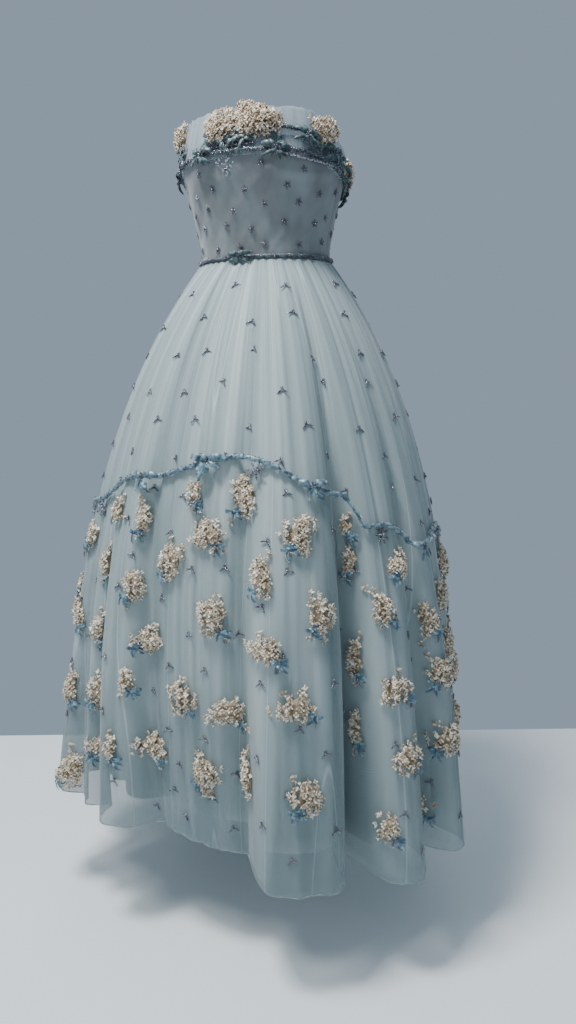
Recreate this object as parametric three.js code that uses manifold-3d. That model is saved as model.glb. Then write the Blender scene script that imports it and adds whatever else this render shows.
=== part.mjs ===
// A strapless ball gown of net over a plain underskirt, filled out as it is worn, with nobody in it.
// Millimetres, +Z up. The origin is the centre of the waist, where the wearer holds the gown up.
// The front faces -Y and the wearer's left side is +X.
// A turn is an angle in degrees round the body, from the centre front towards +X.
// A rise is a height over the waist, and a drop a depth under it.
import * as THREE from "three";
import { mergeVertices } from "three/addons/utils/BufferGeometryUtils.js";
import Module from "manifold-3d";

const wasm = await Module();
wasm.setup();

// Driving sizes
const SEAM_GAP = 0.3;
const WAIST = { halfWidth: 130, halfDepth: 96 };
const HEM = { front: 1030, back: 1062, lift: 24, liftTurn: -42 };

// The bell of the skirt widens fast under the waist and slowly at the hem.
const BELL = { widthGain: 272, depthGain: 302, ease: 360 };
const GATHERS = { count: 44, height: 3.2, fade: 260 };
const FOLD = { valley: -60, growth: 1.7, square: 2.6, round: 1.3 };

// The largest folds, by the turn of their crest. Reach is how far a crest stands over the valley at the hem.
// Square is how steep its sides are, and growth how late it starts on its way down, where they aren't FOLD's.
const FOLDS = [
  { turn: 4, width: 36, reach: 25 },
  { turn: 35.5, width: 30, reach: 92, square: 5, growth: 1.2 },
  { turn: 50.5, width: 10, reach: -52, growth: 1.1 },
  { turn: 61.5, width: 25, reach: 116 },
  { turn: 80, width: 16, reach: 112 },
  { turn: 97, width: 16, reach: 60 },
  { turn: 114, width: 18, reach: 78 },
  { turn: 131, width: 15, reach: 52 },
  { turn: 148, width: 18, reach: 84 },
  { turn: 165, width: 15, reach: 56 },
  { turn: 183, width: 20, reach: 90 },
  { turn: 201, width: 15, reach: 54 },
  { turn: 218, width: 19, reach: 82 },
  { turn: 235, width: 14, reach: 50 },
  { turn: 251, width: 17, reach: 74 },
  { turn: 267, width: 14, reach: 54 },
  { turn: 284, width: 19, reach: 72 },
  { turn: 307, width: 22, reach: 100 },
  { turn: 320, width: 11, reach: 58 },
  { turn: 334, width: 20, reach: 52 },
];
// The net is drawn in over the front left as seen by someone who faces the gown.
const TUCK = { turn: 2, width: 54, reach: -50 };

const OVERSKIRT = { wall: 1.6, columns: 106, drops: [0, 26, 85, 190, 340, 540, 780, 1030] };
const OVERSKIRT_SEAMS = [
  { name: "front", from: -41, to: 50 },
  { name: "front_left", from: 50, to: 102 },
  { name: "back_left", from: 102, to: 160 },
  { name: "back", from: 160, to: 215 },
  { name: "back_right", from: 215, to: 270 },
  { name: "front_right", from: 270, to: 319 },
];
const UNDERSKIRT = {
  wall: 1.5, columns: 68, drops: [0, 40, 160, 400, 1030],
  waistGap: 5.8, hipGap: 14, hipDrop: 400, hemGap: 36, foldShare: 0.8, shorter: 38,
};

// Half the bodice at each rise: to the side, to the front and to the back.
const BODICE = { wall: 1.8, columns: 38 };
const BODICE_SECTIONS = [
  { rise: 0, side: 126, front: 92, back: 92 },
  { rise: 40, side: 128, front: 100, back: 94 },
  { rise: 100, side: 141, front: 121, back: 100 },
  { rise: 155, side: 153, front: 140, back: 106 },
  { rise: 200, side: 152, front: 137, back: 108 },
  { rise: 245, side: 147, front: 125, back: 108 },
  { rise: 300, side: 141, front: 114, back: 106 },
];
const SIDE_SEAM = 88;

// The cord round the bust and the top edge run level over the front and fall to the back.
const BUST_LINE = { rise: 171, fall: 63, from: 45, to: 150 };
const TOP_EDGE = { rise: 242, fall: 80, from: 50, to: 125 };
const BODICE_TOP = 25;
const NECK_BAND = { wall: 1.2, gap: 0.7, below: 8, opening: 8 };
const PLACKET = { wall: 2, halfTurn: 6.4, lowest: 12 };

const CORD = { radius: 4.5, sides: 5, span: 4 };
// What is tied or sewn on is lifted in small steps until it is just clear of what it lies on.
const LIFT = { cord: -2.5, bow: -10, step: 0.15, most: 8 };
const WAIST_CORD_RISE = 5.8;

// The peaks and troughs of the garland. It hangs in scallops under the hip, lower towards the back.
const GARLAND = [
  { turn: -22, drop: 378 },
  { turn: 20, drop: 335 },
  { turn: 50, drop: 396 },
  { turn: 56, drop: 450 },
  { turn: 61, drop: 448 },
  { turn: 77, drop: 496 },
  { turn: 101, drop: 482 },
  { turn: 122, drop: 540 },
  { turn: 143, drop: 512 },
  { turn: 164, drop: 568 },
  { turn: 185, drop: 540 },
  { turn: 206, drop: 572 },
  { turn: 227, drop: 528 },
  { turn: 248, drop: 550 },
  { turn: 269, drop: 492 },
  { turn: 290, drop: 502 },
  { turn: 312, drop: 432 },
];
const GARLAND_BOW_TURNS = [-18, 7, 40, 76, 122, 164, 206, 248, 290];
const GARLAND_CORD = { bowGap: 5, steps: 18 };

// Flower sprays lie between the garland and the hem, each half as wide and half as tall as it says.
const FRONT_SPRAYS = [
  { turn: 2, drop: 400, wide: 11, tall: 27 },
  { turn: 20, drop: 401, wide: 27, tall: 38 },
  { turn: -29, drop: 440, wide: 23, tall: 20 },
  { turn: -18, drop: 450, wide: 13, tall: 34 },
  { turn: 8, drop: 464, wide: 31, tall: 28 },
  { turn: 36, drop: 454, wide: 25, tall: 35 },
  { turn: 53, drop: 452, wide: 10, tall: 21 },
  { turn: -5, drop: 515, wide: 25, tall: 34 },
  { turn: 26, drop: 521, wide: 20, tall: 34 },
  { turn: 53, drop: 512, wide: 12, tall: 32 },
  { turn: 65, drop: 517, wide: 26, tall: 26 },
  { turn: -48, drop: 500, wide: 16, tall: 28 },
  { turn: -36, drop: 545, wide: 14, tall: 36 },
  { turn: -19, drop: 563, wide: 21, tall: 32 },
  { turn: 40, drop: 578, wide: 20, tall: 36 },
  { turn: 58, drop: 582, wide: 20, tall: 33 },
  { turn: 10, drop: 598, wide: 29, tall: 37 },
  { turn: 76, drop: 624, wide: 20, tall: 35 },
  { turn: -49, drop: 655, wide: 16, tall: 32 },
  { turn: -36, drop: 662, wide: 18, tall: 33 },
  { turn: -14, drop: 657, wide: 36, tall: 22 },
  { turn: 27, drop: 634, wide: 31, tall: 24 },
  { turn: 53, drop: 670, wide: 14, tall: 40 },
  { turn: -20, drop: 732, wide: 13, tall: 28 },
  { turn: -1, drop: 749, wide: 25, tall: 33 },
  { turn: 34, drop: 720, wide: 36, tall: 24 },
  { turn: 59, drop: 714, wide: 29, tall: 25 },
  { turn: 78, drop: 717, wide: 22, tall: 32 },
  { turn: -36, drop: 780, wide: 20, tall: 36 },
  { turn: -49, drop: 800, wide: 18, tall: 38 },
  { turn: 15, drop: 760, wide: 36, tall: 26 },
  { turn: 53, drop: 790, wide: 14, tall: 40 },
  { turn: 61, drop: 828, wide: 30, tall: 26 },
  { turn: 78, drop: 837, wide: 27, tall: 28 },
  { turn: -35, drop: 888, wide: 20, tall: 30 },
  { turn: -24, drop: 862, wide: 14, tall: 28 },
  { turn: -14, drop: 856, wide: 32, tall: 30 },
  { turn: 7, drop: 878, wide: 27, tall: 38 },
  { turn: 22, drop: 860, wide: 19, tall: 40 },
  { turn: 36, drop: 866, wide: 29, tall: 32 },
  { turn: 56, drop: 940, wide: 24, tall: 26 },
  { turn: 73, drop: 965, wide: 20, tall: 25 },
];
const SPRAY_ROWS = [
  { drop: 512, turns: [-60] },
  { drop: 566, turns: [112] },
  { drop: 606, turns: [-60, 94, 130, 150, 171, 192, 231, 252, 287] },
  { drop: 646, turns: [209] },
  { drop: 700, turns: [-61, 96, 120, 141, 181, 202, 222, 242, 261] },
  { drop: 738, turns: [150] },
  { drop: 785, turns: [114, 130, 171, 191, 232, 252, 278, 292] },
  { drop: 848, turns: [-60, 92, 142, 183, 203, 223, 242] },
  { drop: 884, turns: [110, 153, 262, 283] },
  { drop: 960, turns: [-48, 86, 130, 168, 195, 232, 252, 292] },
];
const SPRAY = { tall: 36, wide: 26, high: 15, jitter: 5, lean: 85, leanSpread: 45, frontSpread: 20, seamRoom: 1.3 };

// Clusters of flowers stand on the band at the top edge.
const CLUSTERS = [
  { turn: -58, rise: 222, wide: 17, tall: 26 },
  { turn: -6, rise: 213, wide: 38, tall: 26 },
  { turn: 21, rise: 221, wide: 40, tall: 30 },
  { turn: 70, rise: 208, wide: 25, tall: 23 },
  { turn: 112, rise: 160, wide: 22, tall: 28 },
  { turn: 152, rise: 146, wide: 26, tall: 20 },
  { turn: 206, rise: 146, wide: 26, tall: 20 },
  { turn: 248, rise: 160, wide: 24, tall: 27 },
];
const CLUSTER_HIGH = 17;

const BOW = { half: 27, loop: 12, knot: 5, tail: 30, thick: 4 };
const WAIST_BOW = { turn: 0, rise: 14, tail: 10 };
// Bows on the bust cord, and a chain of them that climbs over the band at the side.
const BUST_BOWS = [
  { turn: -72, over: 0 },
  { turn: -20, over: 0 },
  { turn: 34, over: 0 },
  { turn: 55, over: 26 },
  { turn: 75, over: 17 },
  { turn: 95, over: 9 },
  { turn: 113, over: 0 },
  { turn: 146, over: 0 },
  { turn: 214, over: 0 },
  { turn: 250, over: 0 },
];

const COLOURS = {
  net: { color: 0xa9bec2, roughness: 0.8, metalness: 0 },
  lining: { color: 0x9fb3b4, roughness: 0.6, metalness: 0 },
  bodice: { color: 0x7d8a90, roughness: 0.75, metalness: 0 },
  ribbon: { color: 0x5f8390, roughness: 0.4, metalness: 0 },
};

const { degToRad, smoothstep, lerp } = THREE.MathUtils;

// The direction straight out of the body at a turn.
function outwards(turn) {
  const angle = degToRad(turn);
  return new THREE.Vector3(Math.sin(angle), -Math.cos(angle), 0);
}

// A turn brought into the half circle either side of the centre front.
function fromFront(turn) {
  return THREE.MathUtils.euclideanModulo(turn + 180, 360) - 180;
}

// Steady scatter between -1 and 1 for a counting number.
function scatter(number) {
  return 2 * (Math.abs(Math.sin(number * 12.9898) * 437.5853) % 1) - 1;
}

// The radius at a turn of an oval with these half sizes.
function ovalRadius(turn, halfWidth, halfDepth) {
  const direction = outwards(turn);
  return 1 / Math.hypot(direction.x / halfWidth, direction.y / halfDepth);
}

// A rounded crest: its full reach in its middle, 0 past its edges.
function crest(turn, { turn: middle, width, reach, square = FOLD.square }) {
  const off = Math.abs(fromFront(turn - middle)) / (width / 2);
  return off < 1 ? reach * (1 - off ** square) ** FOLD.round : 0;
}

// The depth of the hem, which is caught up a little over one side of the front.
function hemDrop(turn) {
  const lifted = Math.max(0, Math.cos(degToRad(turn - HEM.liftTurn))) ** 3;
  return lerp(HEM.front, HEM.back, (1 - Math.cos(degToRad(turn))) / 2) - HEM.lift * lifted;
}

// The bell without folds, and how far the folds stand out of it.
function bellRadius(turn, drop) {
  const swell = 1 - Math.exp(-Math.max(drop, 0) / BELL.ease);
  return ovalRadius(turn, WAIST.halfWidth + BELL.widthGain * swell, WAIST.halfDepth + BELL.depthGain * swell);
}

function foldHeight(turn, drop) {
  const depth = Math.max(drop, 0) / HEM.front;
  const between = (FOLD.valley + crest(turn, TUCK)) * depth ** FOLD.growth;
  return FOLDS.reduce((sum, fold) => sum + crest(turn, fold) * depth ** (fold.growth ?? FOLD.growth), between);
}

function overskirtRadius(turn, drop) {
  const gather = Math.cos(degToRad(turn * GATHERS.count)) * Math.exp(-Math.max(drop, 0) / GATHERS.fade);
  return bellRadius(turn, drop) + foldHeight(turn, drop) + GATHERS.height * gather;
}

function underskirtRadius(turn, drop) {
  const standoff =
    UNDERSKIRT.waistGap +
    UNDERSKIRT.hipGap * smoothstep(drop, 0, UNDERSKIRT.hipDrop) +
    UNDERSKIRT.hemGap * (Math.max(drop, 0) / HEM.front) ** FOLD.growth;
  return bellRadius(turn, drop) + UNDERSKIRT.foldShare * foldHeight(turn, drop) - standoff;
}

function bodiceRadius(turn, rise) {
  const above = BODICE_SECTIONS.findIndex((section) => section.rise > rise);
  const high = BODICE_SECTIONS[THREE.MathUtils.clamp(above, 1, BODICE_SECTIONS.length - 1)];
  const low = BODICE_SECTIONS[BODICE_SECTIONS.indexOf(high) - 1];
  const share = (rise - low.rise) / (high.rise - low.rise);
  const facesFront = Math.abs(fromFront(turn)) < 90;
  const depth = facesFront ? lerp(low.front, high.front, share) : lerp(low.back, high.back, share);
  return ovalRadius(turn, lerp(low.side, high.side, share), depth);
}

// The rise of a line that is level over the front and falls to the back.
function lineRise(line, turn) {
  return line.rise - line.fall * smoothstep(Math.abs(fromFront(turn)), line.from, line.to);
}

const bustRise = (turn) => lineRise(BUST_LINE, turn);

// The garland's drop, in smooth waves from peak to trough.
function garlandDrop(turn) {
  const round = GARLAND[0].turn + THREE.MathUtils.euclideanModulo(turn - GARLAND[0].turn, 360);
  const next = GARLAND.findIndex((point) => point.turn > round);
  const before = GARLAND.at(next > 0 ? next - 1 : -1);
  const after = next > 0 ? GARLAND[next] : { turn: GARLAND[0].turn + 360, drop: GARLAND[0].drop };
  return lerp(before.drop, after.drop, smoothstep(round, before.turn, after.turn));
}

// A point of a surface given as a radius by turn and height, moved out along its own normal.
function surfacePoint(radius, turn, height, out = 0) {
  const at = (t, h) => outwards(t).multiplyScalar(radius(t, h)).setZ(h);
  const step = 0.5;
  const across = at(turn + step, height).sub(at(turn - step, height));
  const up = at(turn, height + step).sub(at(turn, height - step));
  const normal = across.cross(up).normalize();
  return { point: at(turn, height).addScaledVector(normal, out), normal };
}

const overskirtSurface = (turn, height) => overskirtRadius(turn, -height);
// What is tied round the skirt rides over the crests and spans the narrow valleys.
const overCrests = (turn, height) =>
  Math.max(...[-1, -0.5, 0, 0.5, 1].map((share) => overskirtRadius(turn + share * CORD.span, -height)));
const underskirtSurface = (turn, height) => underskirtRadius(turn, -height);

// Geometry turned into a solid that manifold-3d can join and cut, and back.
function solidFrom(geometry) {
  const bare = new THREE.BufferGeometry().setAttribute("position", geometry.getAttribute("position"));
  if (geometry.index) bare.setIndex(geometry.index);
  const merged = mergeVertices(bare, 1e-4);
  return new wasm.Manifold(
    new wasm.Mesh({
      numProp: 3,
      vertProperties: merged.attributes.position.array,
      triVerts: new Uint32Array(merged.index.array),
    }),
  );
}

function geometryFrom(solid) {
  const { vertProperties, triVerts } = solid.getMesh();
  return new THREE.BufferGeometry()
    .setAttribute("position", new THREE.BufferAttribute(vertProperties, 3))
    .setIndex(new THREE.BufferAttribute(triVerts, 1));
}

// A solid drum whose side is bent to the surface. levels(turn) lists its heights from top to bottom.
function drum(columns, levels, place) {
  const rows = levels(0).length - 1;
  const geometry = new THREE.CylinderGeometry(1, 1, rows, columns, rows).rotateX(Math.PI / 2);
  const position = geometry.getAttribute("position");
  const corner = new THREE.Vector3();
  for (let i = 0; i < position.count; i++) {
    corner.fromBufferAttribute(position, i);
    const row = Math.round(rows / 2 - corner.z);
    const turn = THREE.MathUtils.radToDeg(Math.atan2(corner.x, -corner.y));
    const onAxis = Math.hypot(corner.x, corner.y) < 0.5;
    const placed = onAxis ? corner.set(0, 0, levels(0)[row]) : place(turn, levels(turn)[row]);
    position.setXYZ(i, placed.x, placed.y, placed.z);
  }
  return solidFrom(geometry);
}

// A cloth wall all round the body, with what is sewn on it joined to its outside over a plain inside.
function clothWall({ radius, wall, columns, levels, applied = [], spare = 12 }) {
  const outside = drum(columns, levels, (turn, height) => surfacePoint(radius, turn, height).point);
  const longer = (turn) => {
    const heights = levels(turn);
    return [heights[0] + spare, ...heights, heights.at(-1) - spare];
  };
  const inside = drum(columns, longer, (turn, height) => surfacePoint(radius, turn, height, -wall).point);
  return applied.reduce((body, lump) => body.add(lump), outside).subtract(inside);
}

// The part of a wall between two seams, each half a seam gap clear of its neighbour.
function panel(body, from, to) {
  const reach = 900;
  const apex = outwards((from + to) / 2).multiplyScalar(SEAM_GAP / 2 / Math.sin(degToRad((to - from) / 2)));
  const rim = Array.from({ length: 7 }, (_, i) => outwards(lerp(from, to, i / 6)).multiplyScalar(reach).add(apex));
  const sector = new THREE.Shape([apex, ...rim].map(({ x, y }) => new THREE.Vector2(x, y)));
  const depth = 3 * reach;
  const block = new THREE.ExtrudeGeometry(sector, { depth, bevelEnabled: false });
  const pieces = body.intersect(solidFrom(block.translate(0, 0, -depth / 2))).decompose();
  // A crumb of a spray that reaches over the seam is trimmed off.
  return pieces.reduce((largest, piece) => (piece.volume() > largest.volume() ? piece : largest));
}

// A low mound on a surface, its long axis leaning by an angle from level. Its foot is sunk in the wall.
function lump(radius, turn, height, half, lean) {
  const { point, normal } = surfacePoint(radius, turn, height);
  const level = new THREE.Vector3(0, 0, 1).cross(normal).normalize();
  const along = level.applyAxisAngle(normal, degToRad(lean));
  const frame = new THREE.Matrix4().makeBasis(along, normal.clone().cross(along), normal).setPosition(point);
  const geometry = new THREE.ConeGeometry(1.5, 1.5, 6).rotateX(Math.PI / 2).translate(0, 0, 0.25);
  geometry.scale(half.long, half.wide, half.high);
  return solidFrom(geometry.applyMatrix4(frame));
}

// A turn moved away from the nearest seam, so that no spray is cut in two.
function clearOfSeams(turn, room) {
  const offsets = OVERSKIRT_SEAMS.map(({ from }) => fromFront(turn - from));
  const nearest = offsets.reduce((best, offset) => (Math.abs(offset) < Math.abs(best) ? offset : best));
  return Math.abs(nearest) < room ? turn + (Math.sign(nearest) || 1) * room - nearest : turn;
}

// All the sprays. Those in rows vary a little in place and size.
function sprayPlaces() {
  const inRows = SPRAY_ROWS.flatMap(({ drop, turns }) => turns.map((turn) => ({ turn, drop })));
  const scattered = inRows.map(({ turn, drop }, i) => {
    const size = 1 + 0.15 * scatter(i + 0.25);
    const lean = SPRAY.lean + SPRAY.leanSpread * scatter(i + 0.75);
    return { turn, drop: drop + SPRAY.jitter * scatter(i + 0.5), wide: SPRAY.wide * size, tall: SPRAY.tall * size, lean };
  });
  const front = FRONT_SPRAYS.map((place, i) => ({ ...place, lean: 90 + SPRAY.frontSpread * scatter(i + 0.75) }));
  return [...front, ...scattered];
}

function sprayLumps() {
  return sprayPlaces().map(({ turn, drop, wide, tall, lean }) => {
    const half = { long: tall, wide, high: SPRAY.high * (wide / SPRAY.wide) ** 0.5 };
    const room = THREE.MathUtils.radToDeg((SPRAY.seamRoom * wide) / overskirtRadius(turn, drop));
    return lump(overskirtSurface, clearOfSeams(turn, room), -drop, half, lean);
  });
}

function overskirtPanels() {
  const body = clothWall({
    radius: overskirtSurface,
    wall: OVERSKIRT.wall,
    columns: OVERSKIRT.columns,
    levels: (turn) => OVERSKIRT.drops.map((drop) => -SEAM_GAP / 2 - drop * (hemDrop(turn) / HEM.front)),
    applied: sprayLumps(),
  });
  return OVERSKIRT_SEAMS.map(({ name, from, to }) => [`overskirt_${name}`, panel(body, from, to)]);
}

function underskirtPanels() {
  const body = clothWall({
    radius: underskirtSurface,
    wall: UNDERSKIRT.wall,
    columns: UNDERSKIRT.columns,
    levels: (turn) => {
      const stretch = (hemDrop(turn) - UNDERSKIRT.shorter) / HEM.front;
      return UNDERSKIRT.drops.map((drop) => -SEAM_GAP / 2 - drop * stretch);
    },
  });
  return [
    ["underskirt_front", panel(body, -SIDE_SEAM, SIDE_SEAM)],
    ["underskirt_back_left", panel(body, SIDE_SEAM, 180)],
    ["underskirt_back_right", panel(body, 180, 360 - SIDE_SEAM)],
  ];
}

function bodicePanels() {
  const shares = [1, 0.72, 0.46, 0.22, 0];
  const body = clothWall({
    radius: bodiceRadius,
    wall: BODICE.wall,
    columns: BODICE.columns,
    levels: (turn) => [
      bustRise(turn) + BODICE_TOP,
      ...shares.map((share) => lerp(SEAM_GAP / 2, bustRise(turn) - NECK_BAND.below, share)),
    ],
  });
  return [
    ["bodice_front", panel(body, -SIDE_SEAM, SIDE_SEAM)],
    ["bodice_back_left", panel(body, SIDE_SEAM, 180)],
    ["bodice_back_right", panel(body, 180, 360 - SIDE_SEAM)],
  ];
}

function neckBand() {
  const radius = (turn, rise) => bodiceRadius(turn, rise) + NECK_BAND.gap + NECK_BAND.wall;
  const applied = CLUSTERS.map(({ turn, rise, wide, tall }) =>
    lump(radius, turn, rise, { long: wide, wide: tall, high: CLUSTER_HIGH }, 0),
  );
  const body = clothWall({
    radius,
    wall: NECK_BAND.wall,
    columns: BODICE.columns,
    levels: (turn) => [lineRise(TOP_EDGE, turn), bustRise(turn) + BODICE_TOP, bustRise(turn) - NECK_BAND.below],
    applied,
    spare: 40,
  });
  const opening = NECK_BAND.opening;
  const half = [panel(body, -180 + opening, 0), panel(body, 0, 180 - opening)];
  return [["neck_band_right", half[0]], ["neck_band_left", half[1]]];
}

// The lapped strip down the centre back, over the concealed fastening.
function placket() {
  const body = clothWall({
    radius: (turn, rise) => bodiceRadius(turn, rise) + SEAM_GAP + PLACKET.wall,
    wall: PLACKET.wall,
    columns: BODICE.columns,
    levels: (turn) => [bustRise(turn) + BODICE_TOP, 75, PLACKET.lowest],
  });
  return panel(body, 180 - PLACKET.halfTurn, 180 + PLACKET.halfTurn);
}

// A round cord laid along points.
function cordAlong(points) {
  const path = new THREE.CurvePath();
  for (let i = 1; i < points.length; i++) path.add(new THREE.LineCurve3(points[i - 1], points[i]));
  const section = new THREE.Shape();
  for (let side = 0; side < CORD.sides; side++) {
    const angle = (2 * Math.PI * side) / CORD.sides;
    const corner = [CORD.radius * Math.cos(angle), CORD.radius * Math.sin(angle)];
    if (side) section.lineTo(...corner);
    else section.moveTo(...corner);
  }
  section.closePath();
  const curve = new THREE.CatmullRomCurve3(points, false, "catmullrom", 0.1);
  return new THREE.ExtrudeGeometry(section, { steps: points.length - 1, extrudePath: curve, bevelEnabled: false });
}

// Cord centres between two turns on a surface, lifted off it.
function cordPoints(radius, from, to, steps, height, lift) {
  return Array.from({ length: steps + 1 }, (_, i) => {
    const turn = lerp(from, to, i / steps);
    return surfacePoint(radius, turn, height(turn), CORD.radius + lift).point;
  });
}

// The first geometry, as the lift grows, that is a seam gap clear of the solids under it.
function restedOn(solids, geometryAt, lowest = LIFT.cord) {
  for (let lift = lowest; lift < LIFT.most; lift += LIFT.step) {
    const geometry = geometryAt(lift);
    const solid = solidFrom(geometry);
    if (solids.every((other) => solid.minGap(other, 1) >= SEAM_GAP)) return { geometry, solid };
  }
  throw new Error("nothing to rest on");
}

const overBodice = (turn, rise) => bodiceRadius(turn, rise) + NECK_BAND.gap + NECK_BAND.wall;

function waistCord(under) {
  return restedOn(under, (lift) => cordAlong(cordPoints(bodiceRadius, -175, 175, 42, () => WAIST_CORD_RISE, lift)));
}

function bustCord(under) {
  const end = 180 - NECK_BAND.opening;
  return restedOn(under, (lift) => cordAlong(cordPoints(overBodice, -end, end, 42, bustRise, lift)));
}

// A cord for each scallop, from bow to bow.
function garlandCords(under) {
  const height = (turn) => -garlandDrop(turn);
  const trim = (turn) => THREE.MathUtils.radToDeg(GARLAND_CORD.bowGap / overCrests(turn, height(turn)));
  return GARLAND_BOW_TURNS.map((start, i) => {
    const end = GARLAND_BOW_TURNS[i + 1] ?? GARLAND_BOW_TURNS[0] + 360;
    const from = start + trim(start);
    const to = end - trim(end);
    return restedOn(under, (lift) => cordAlong(cordPoints(overCrests, from, to, GARLAND_CORD.steps, height, lift)));
  });
}

// A flat ribbon bow: two loops, a knot and two tails that hang down.
function bowGeometry(tail) {
  const { half, loop, knot, thick } = BOW;
  const right = [
    [knot, knot * 0.8],
    [half * 0.6, loop],
    [half, loop * 0.7],
    [half, -loop * 0.4],
    [knot * 1.4, -knot * 0.7],
    [half * 0.55, -tail],
    [half * 0.3, -tail * 0.92],
  ];
  const left = right.map(([x, y]) => [-x, y]).reverse();
  const outline = new THREE.Shape([...right, [0, -knot * 1.2], ...left].map(([x, y]) => new THREE.Vector2(x, y)));
  return new THREE.ExtrudeGeometry(outline, { depth: thick, bevelEnabled: false });
}

// A bow bent to a surface, over what it is tied or sewn on.
function restedBow(under, radius, turn, height, tail = BOW.tail) {
  const bowAt = (lift) => {
    const over = 2 * CORD.radius + lift;
    const bow = bowGeometry(tail);
    const position = bow.getAttribute("position");
    const reach = radius(turn, height) + over;
    for (let i = 0; i < position.count; i++) {
      const aside = THREE.MathUtils.radToDeg(position.getX(i) / reach);
      const { point } = surfacePoint(radius, turn + aside, height + position.getY(i), over + position.getZ(i));
      position.setXYZ(i, point.x, point.y, point.z);
    }
    bow.computeVertexNormals();
    return bow;
  };
  return restedOn(under, bowAt, LIFT.bow);
}

// The gown
const gown = new THREE.Group();
gown.name = "ball_gown";

function addMesh(name, geometry, colour) {
  const mesh = new THREE.Mesh(geometry, new THREE.MeshStandardMaterial(colour));
  mesh.name = name;
  gown.add(mesh);
}

// Adds named solids and gives the solids back, for others to rest on.
function addSolids(named, colour) {
  for (const [name, solid] of named) addMesh(name, geometryFrom(solid), colour);
  return named.map(([, solid]) => solid);
}

function addRested(name, { geometry, solid }) {
  addMesh(name, geometry, COLOURS.ribbon);
  return solid;
}

const overskirt = addSolids(overskirtPanels(), COLOURS.net);
addSolids(underskirtPanels(), COLOURS.lining);
const bodice = addSolids(bodicePanels(), COLOURS.bodice);
const band = addSolids(neckBand(), COLOURS.net);
addSolids([["back_placket", placket()]], COLOURS.bodice);

const waist = addRested("waist_cord", waistCord([...bodice, ...overskirt]));
addRested("waist_bow", restedBow([waist, ...bodice], bodiceRadius, WAIST_BOW.turn, WAIST_BOW.rise, WAIST_BOW.tail));

const bust = addRested("bust_cord", bustCord(band));
BUST_BOWS.forEach(({ turn, over }, i) => {
  addRested(`bust_bow_${i + 1}`, restedBow([bust, ...band], overBodice, turn, bustRise(turn) + over));
});

const garland = garlandCords(overskirt).map((cord, i) => addRested(`garland_${i + 1}`, cord));
GARLAND_BOW_TURNS.forEach((turn, i) => {
  const bow = restedBow([...garland, ...overskirt], overCrests, turn, -garlandDrop(turn));
  addRested(`garland_bow_${i + 1}`, bow);
});

export default gown;
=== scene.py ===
# A strapless ball gown of net over a plain underskirt, filled out as it is worn.
# Metres, +Z up, the front faces -Y. The origin is the centre of the waist.
# A turn is an angle in degrees round the body, from the centre front towards +X.
# A drop is a depth under the waist, and a rise is a height over it.
import math
import bpy
import bmesh
from mathutils import Matrix, Vector, noise


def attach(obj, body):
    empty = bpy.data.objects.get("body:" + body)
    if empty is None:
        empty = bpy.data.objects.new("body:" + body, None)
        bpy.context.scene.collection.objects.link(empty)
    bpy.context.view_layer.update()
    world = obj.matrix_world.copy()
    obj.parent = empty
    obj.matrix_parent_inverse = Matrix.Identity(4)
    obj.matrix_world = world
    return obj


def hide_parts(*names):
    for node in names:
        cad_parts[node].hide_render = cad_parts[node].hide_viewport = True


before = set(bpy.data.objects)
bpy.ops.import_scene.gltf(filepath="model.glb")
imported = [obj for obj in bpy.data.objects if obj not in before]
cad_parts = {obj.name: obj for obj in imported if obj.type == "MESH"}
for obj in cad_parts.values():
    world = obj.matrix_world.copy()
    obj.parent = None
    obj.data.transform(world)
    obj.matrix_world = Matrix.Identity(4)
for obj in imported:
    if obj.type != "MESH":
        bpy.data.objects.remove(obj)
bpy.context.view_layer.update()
print("stage: frame loaded")


# The direction straight out of the body at a turn
def outwards(turn):
    angle = math.radians(turn)
    return Vector((math.sin(angle), -math.cos(angle), 0))


def mix(a, b, share):
    return a + (b - a) * share


def ease(value, start, end):
    t = min(max((value - start) / (end - start), 0), 1)
    return t * t * (3 - 2 * t)


def fromFront(turn):
    return (turn + 180) % 360 - 180


# Steady scatter between -1 and 1 for a counting number
def scatter(number):
    return 2 * (abs(math.sin(number * 12.9898) * 437.5853) % 1) - 1


# Camera, lamps and room
view = {"turn": 27, "away": 1.55, "height": -0.212, "lookAside": 1.6, "lookDown": 9.55, "lens": 27.6}
lamps = [
    {"name": "lampOverhead", "place": (-0.35, -0.95, 1.85), "aim": (0, 0, -0.3), "size": 0.6, "power": 104},
    {"name": "lampFront", "place": (-0.9, -2.6, 0.5), "aim": (0, 0, -0.5), "size": 1.8, "power": 8},
    {"name": "lampSide", "place": (2.6, -0.6, 0.6), "aim": (0, 0, -0.5), "size": 1.6, "power": 1.5},
    {"name": "lampBack", "place": (-0.6, 2.4, 1.2), "aim": (0, 0, -0.3), "size": 1.6, "power": 9},
]
room = {"colour": (0.45, 0.57, 0.7, 1), "strength": 0.6, "floor": -1.22, "behind": 0.59, "reach": 4}


def makeCamera():
    data = bpy.data.cameras.new("camera")
    data.lens = view["lens"]
    data.sensor_width = 36
    camera = bpy.data.objects.new("camera", data)
    camera.location = outwards(view["turn"]) * view["away"] + Vector((0, 0, view["height"]))
    heading = math.radians(view["turn"] - view["lookAside"])
    camera.rotation_euler = (math.radians(90 - view["lookDown"]), 0, heading)
    bpy.context.scene.collection.objects.link(camera)
    bpy.context.scene.camera = camera


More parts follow.
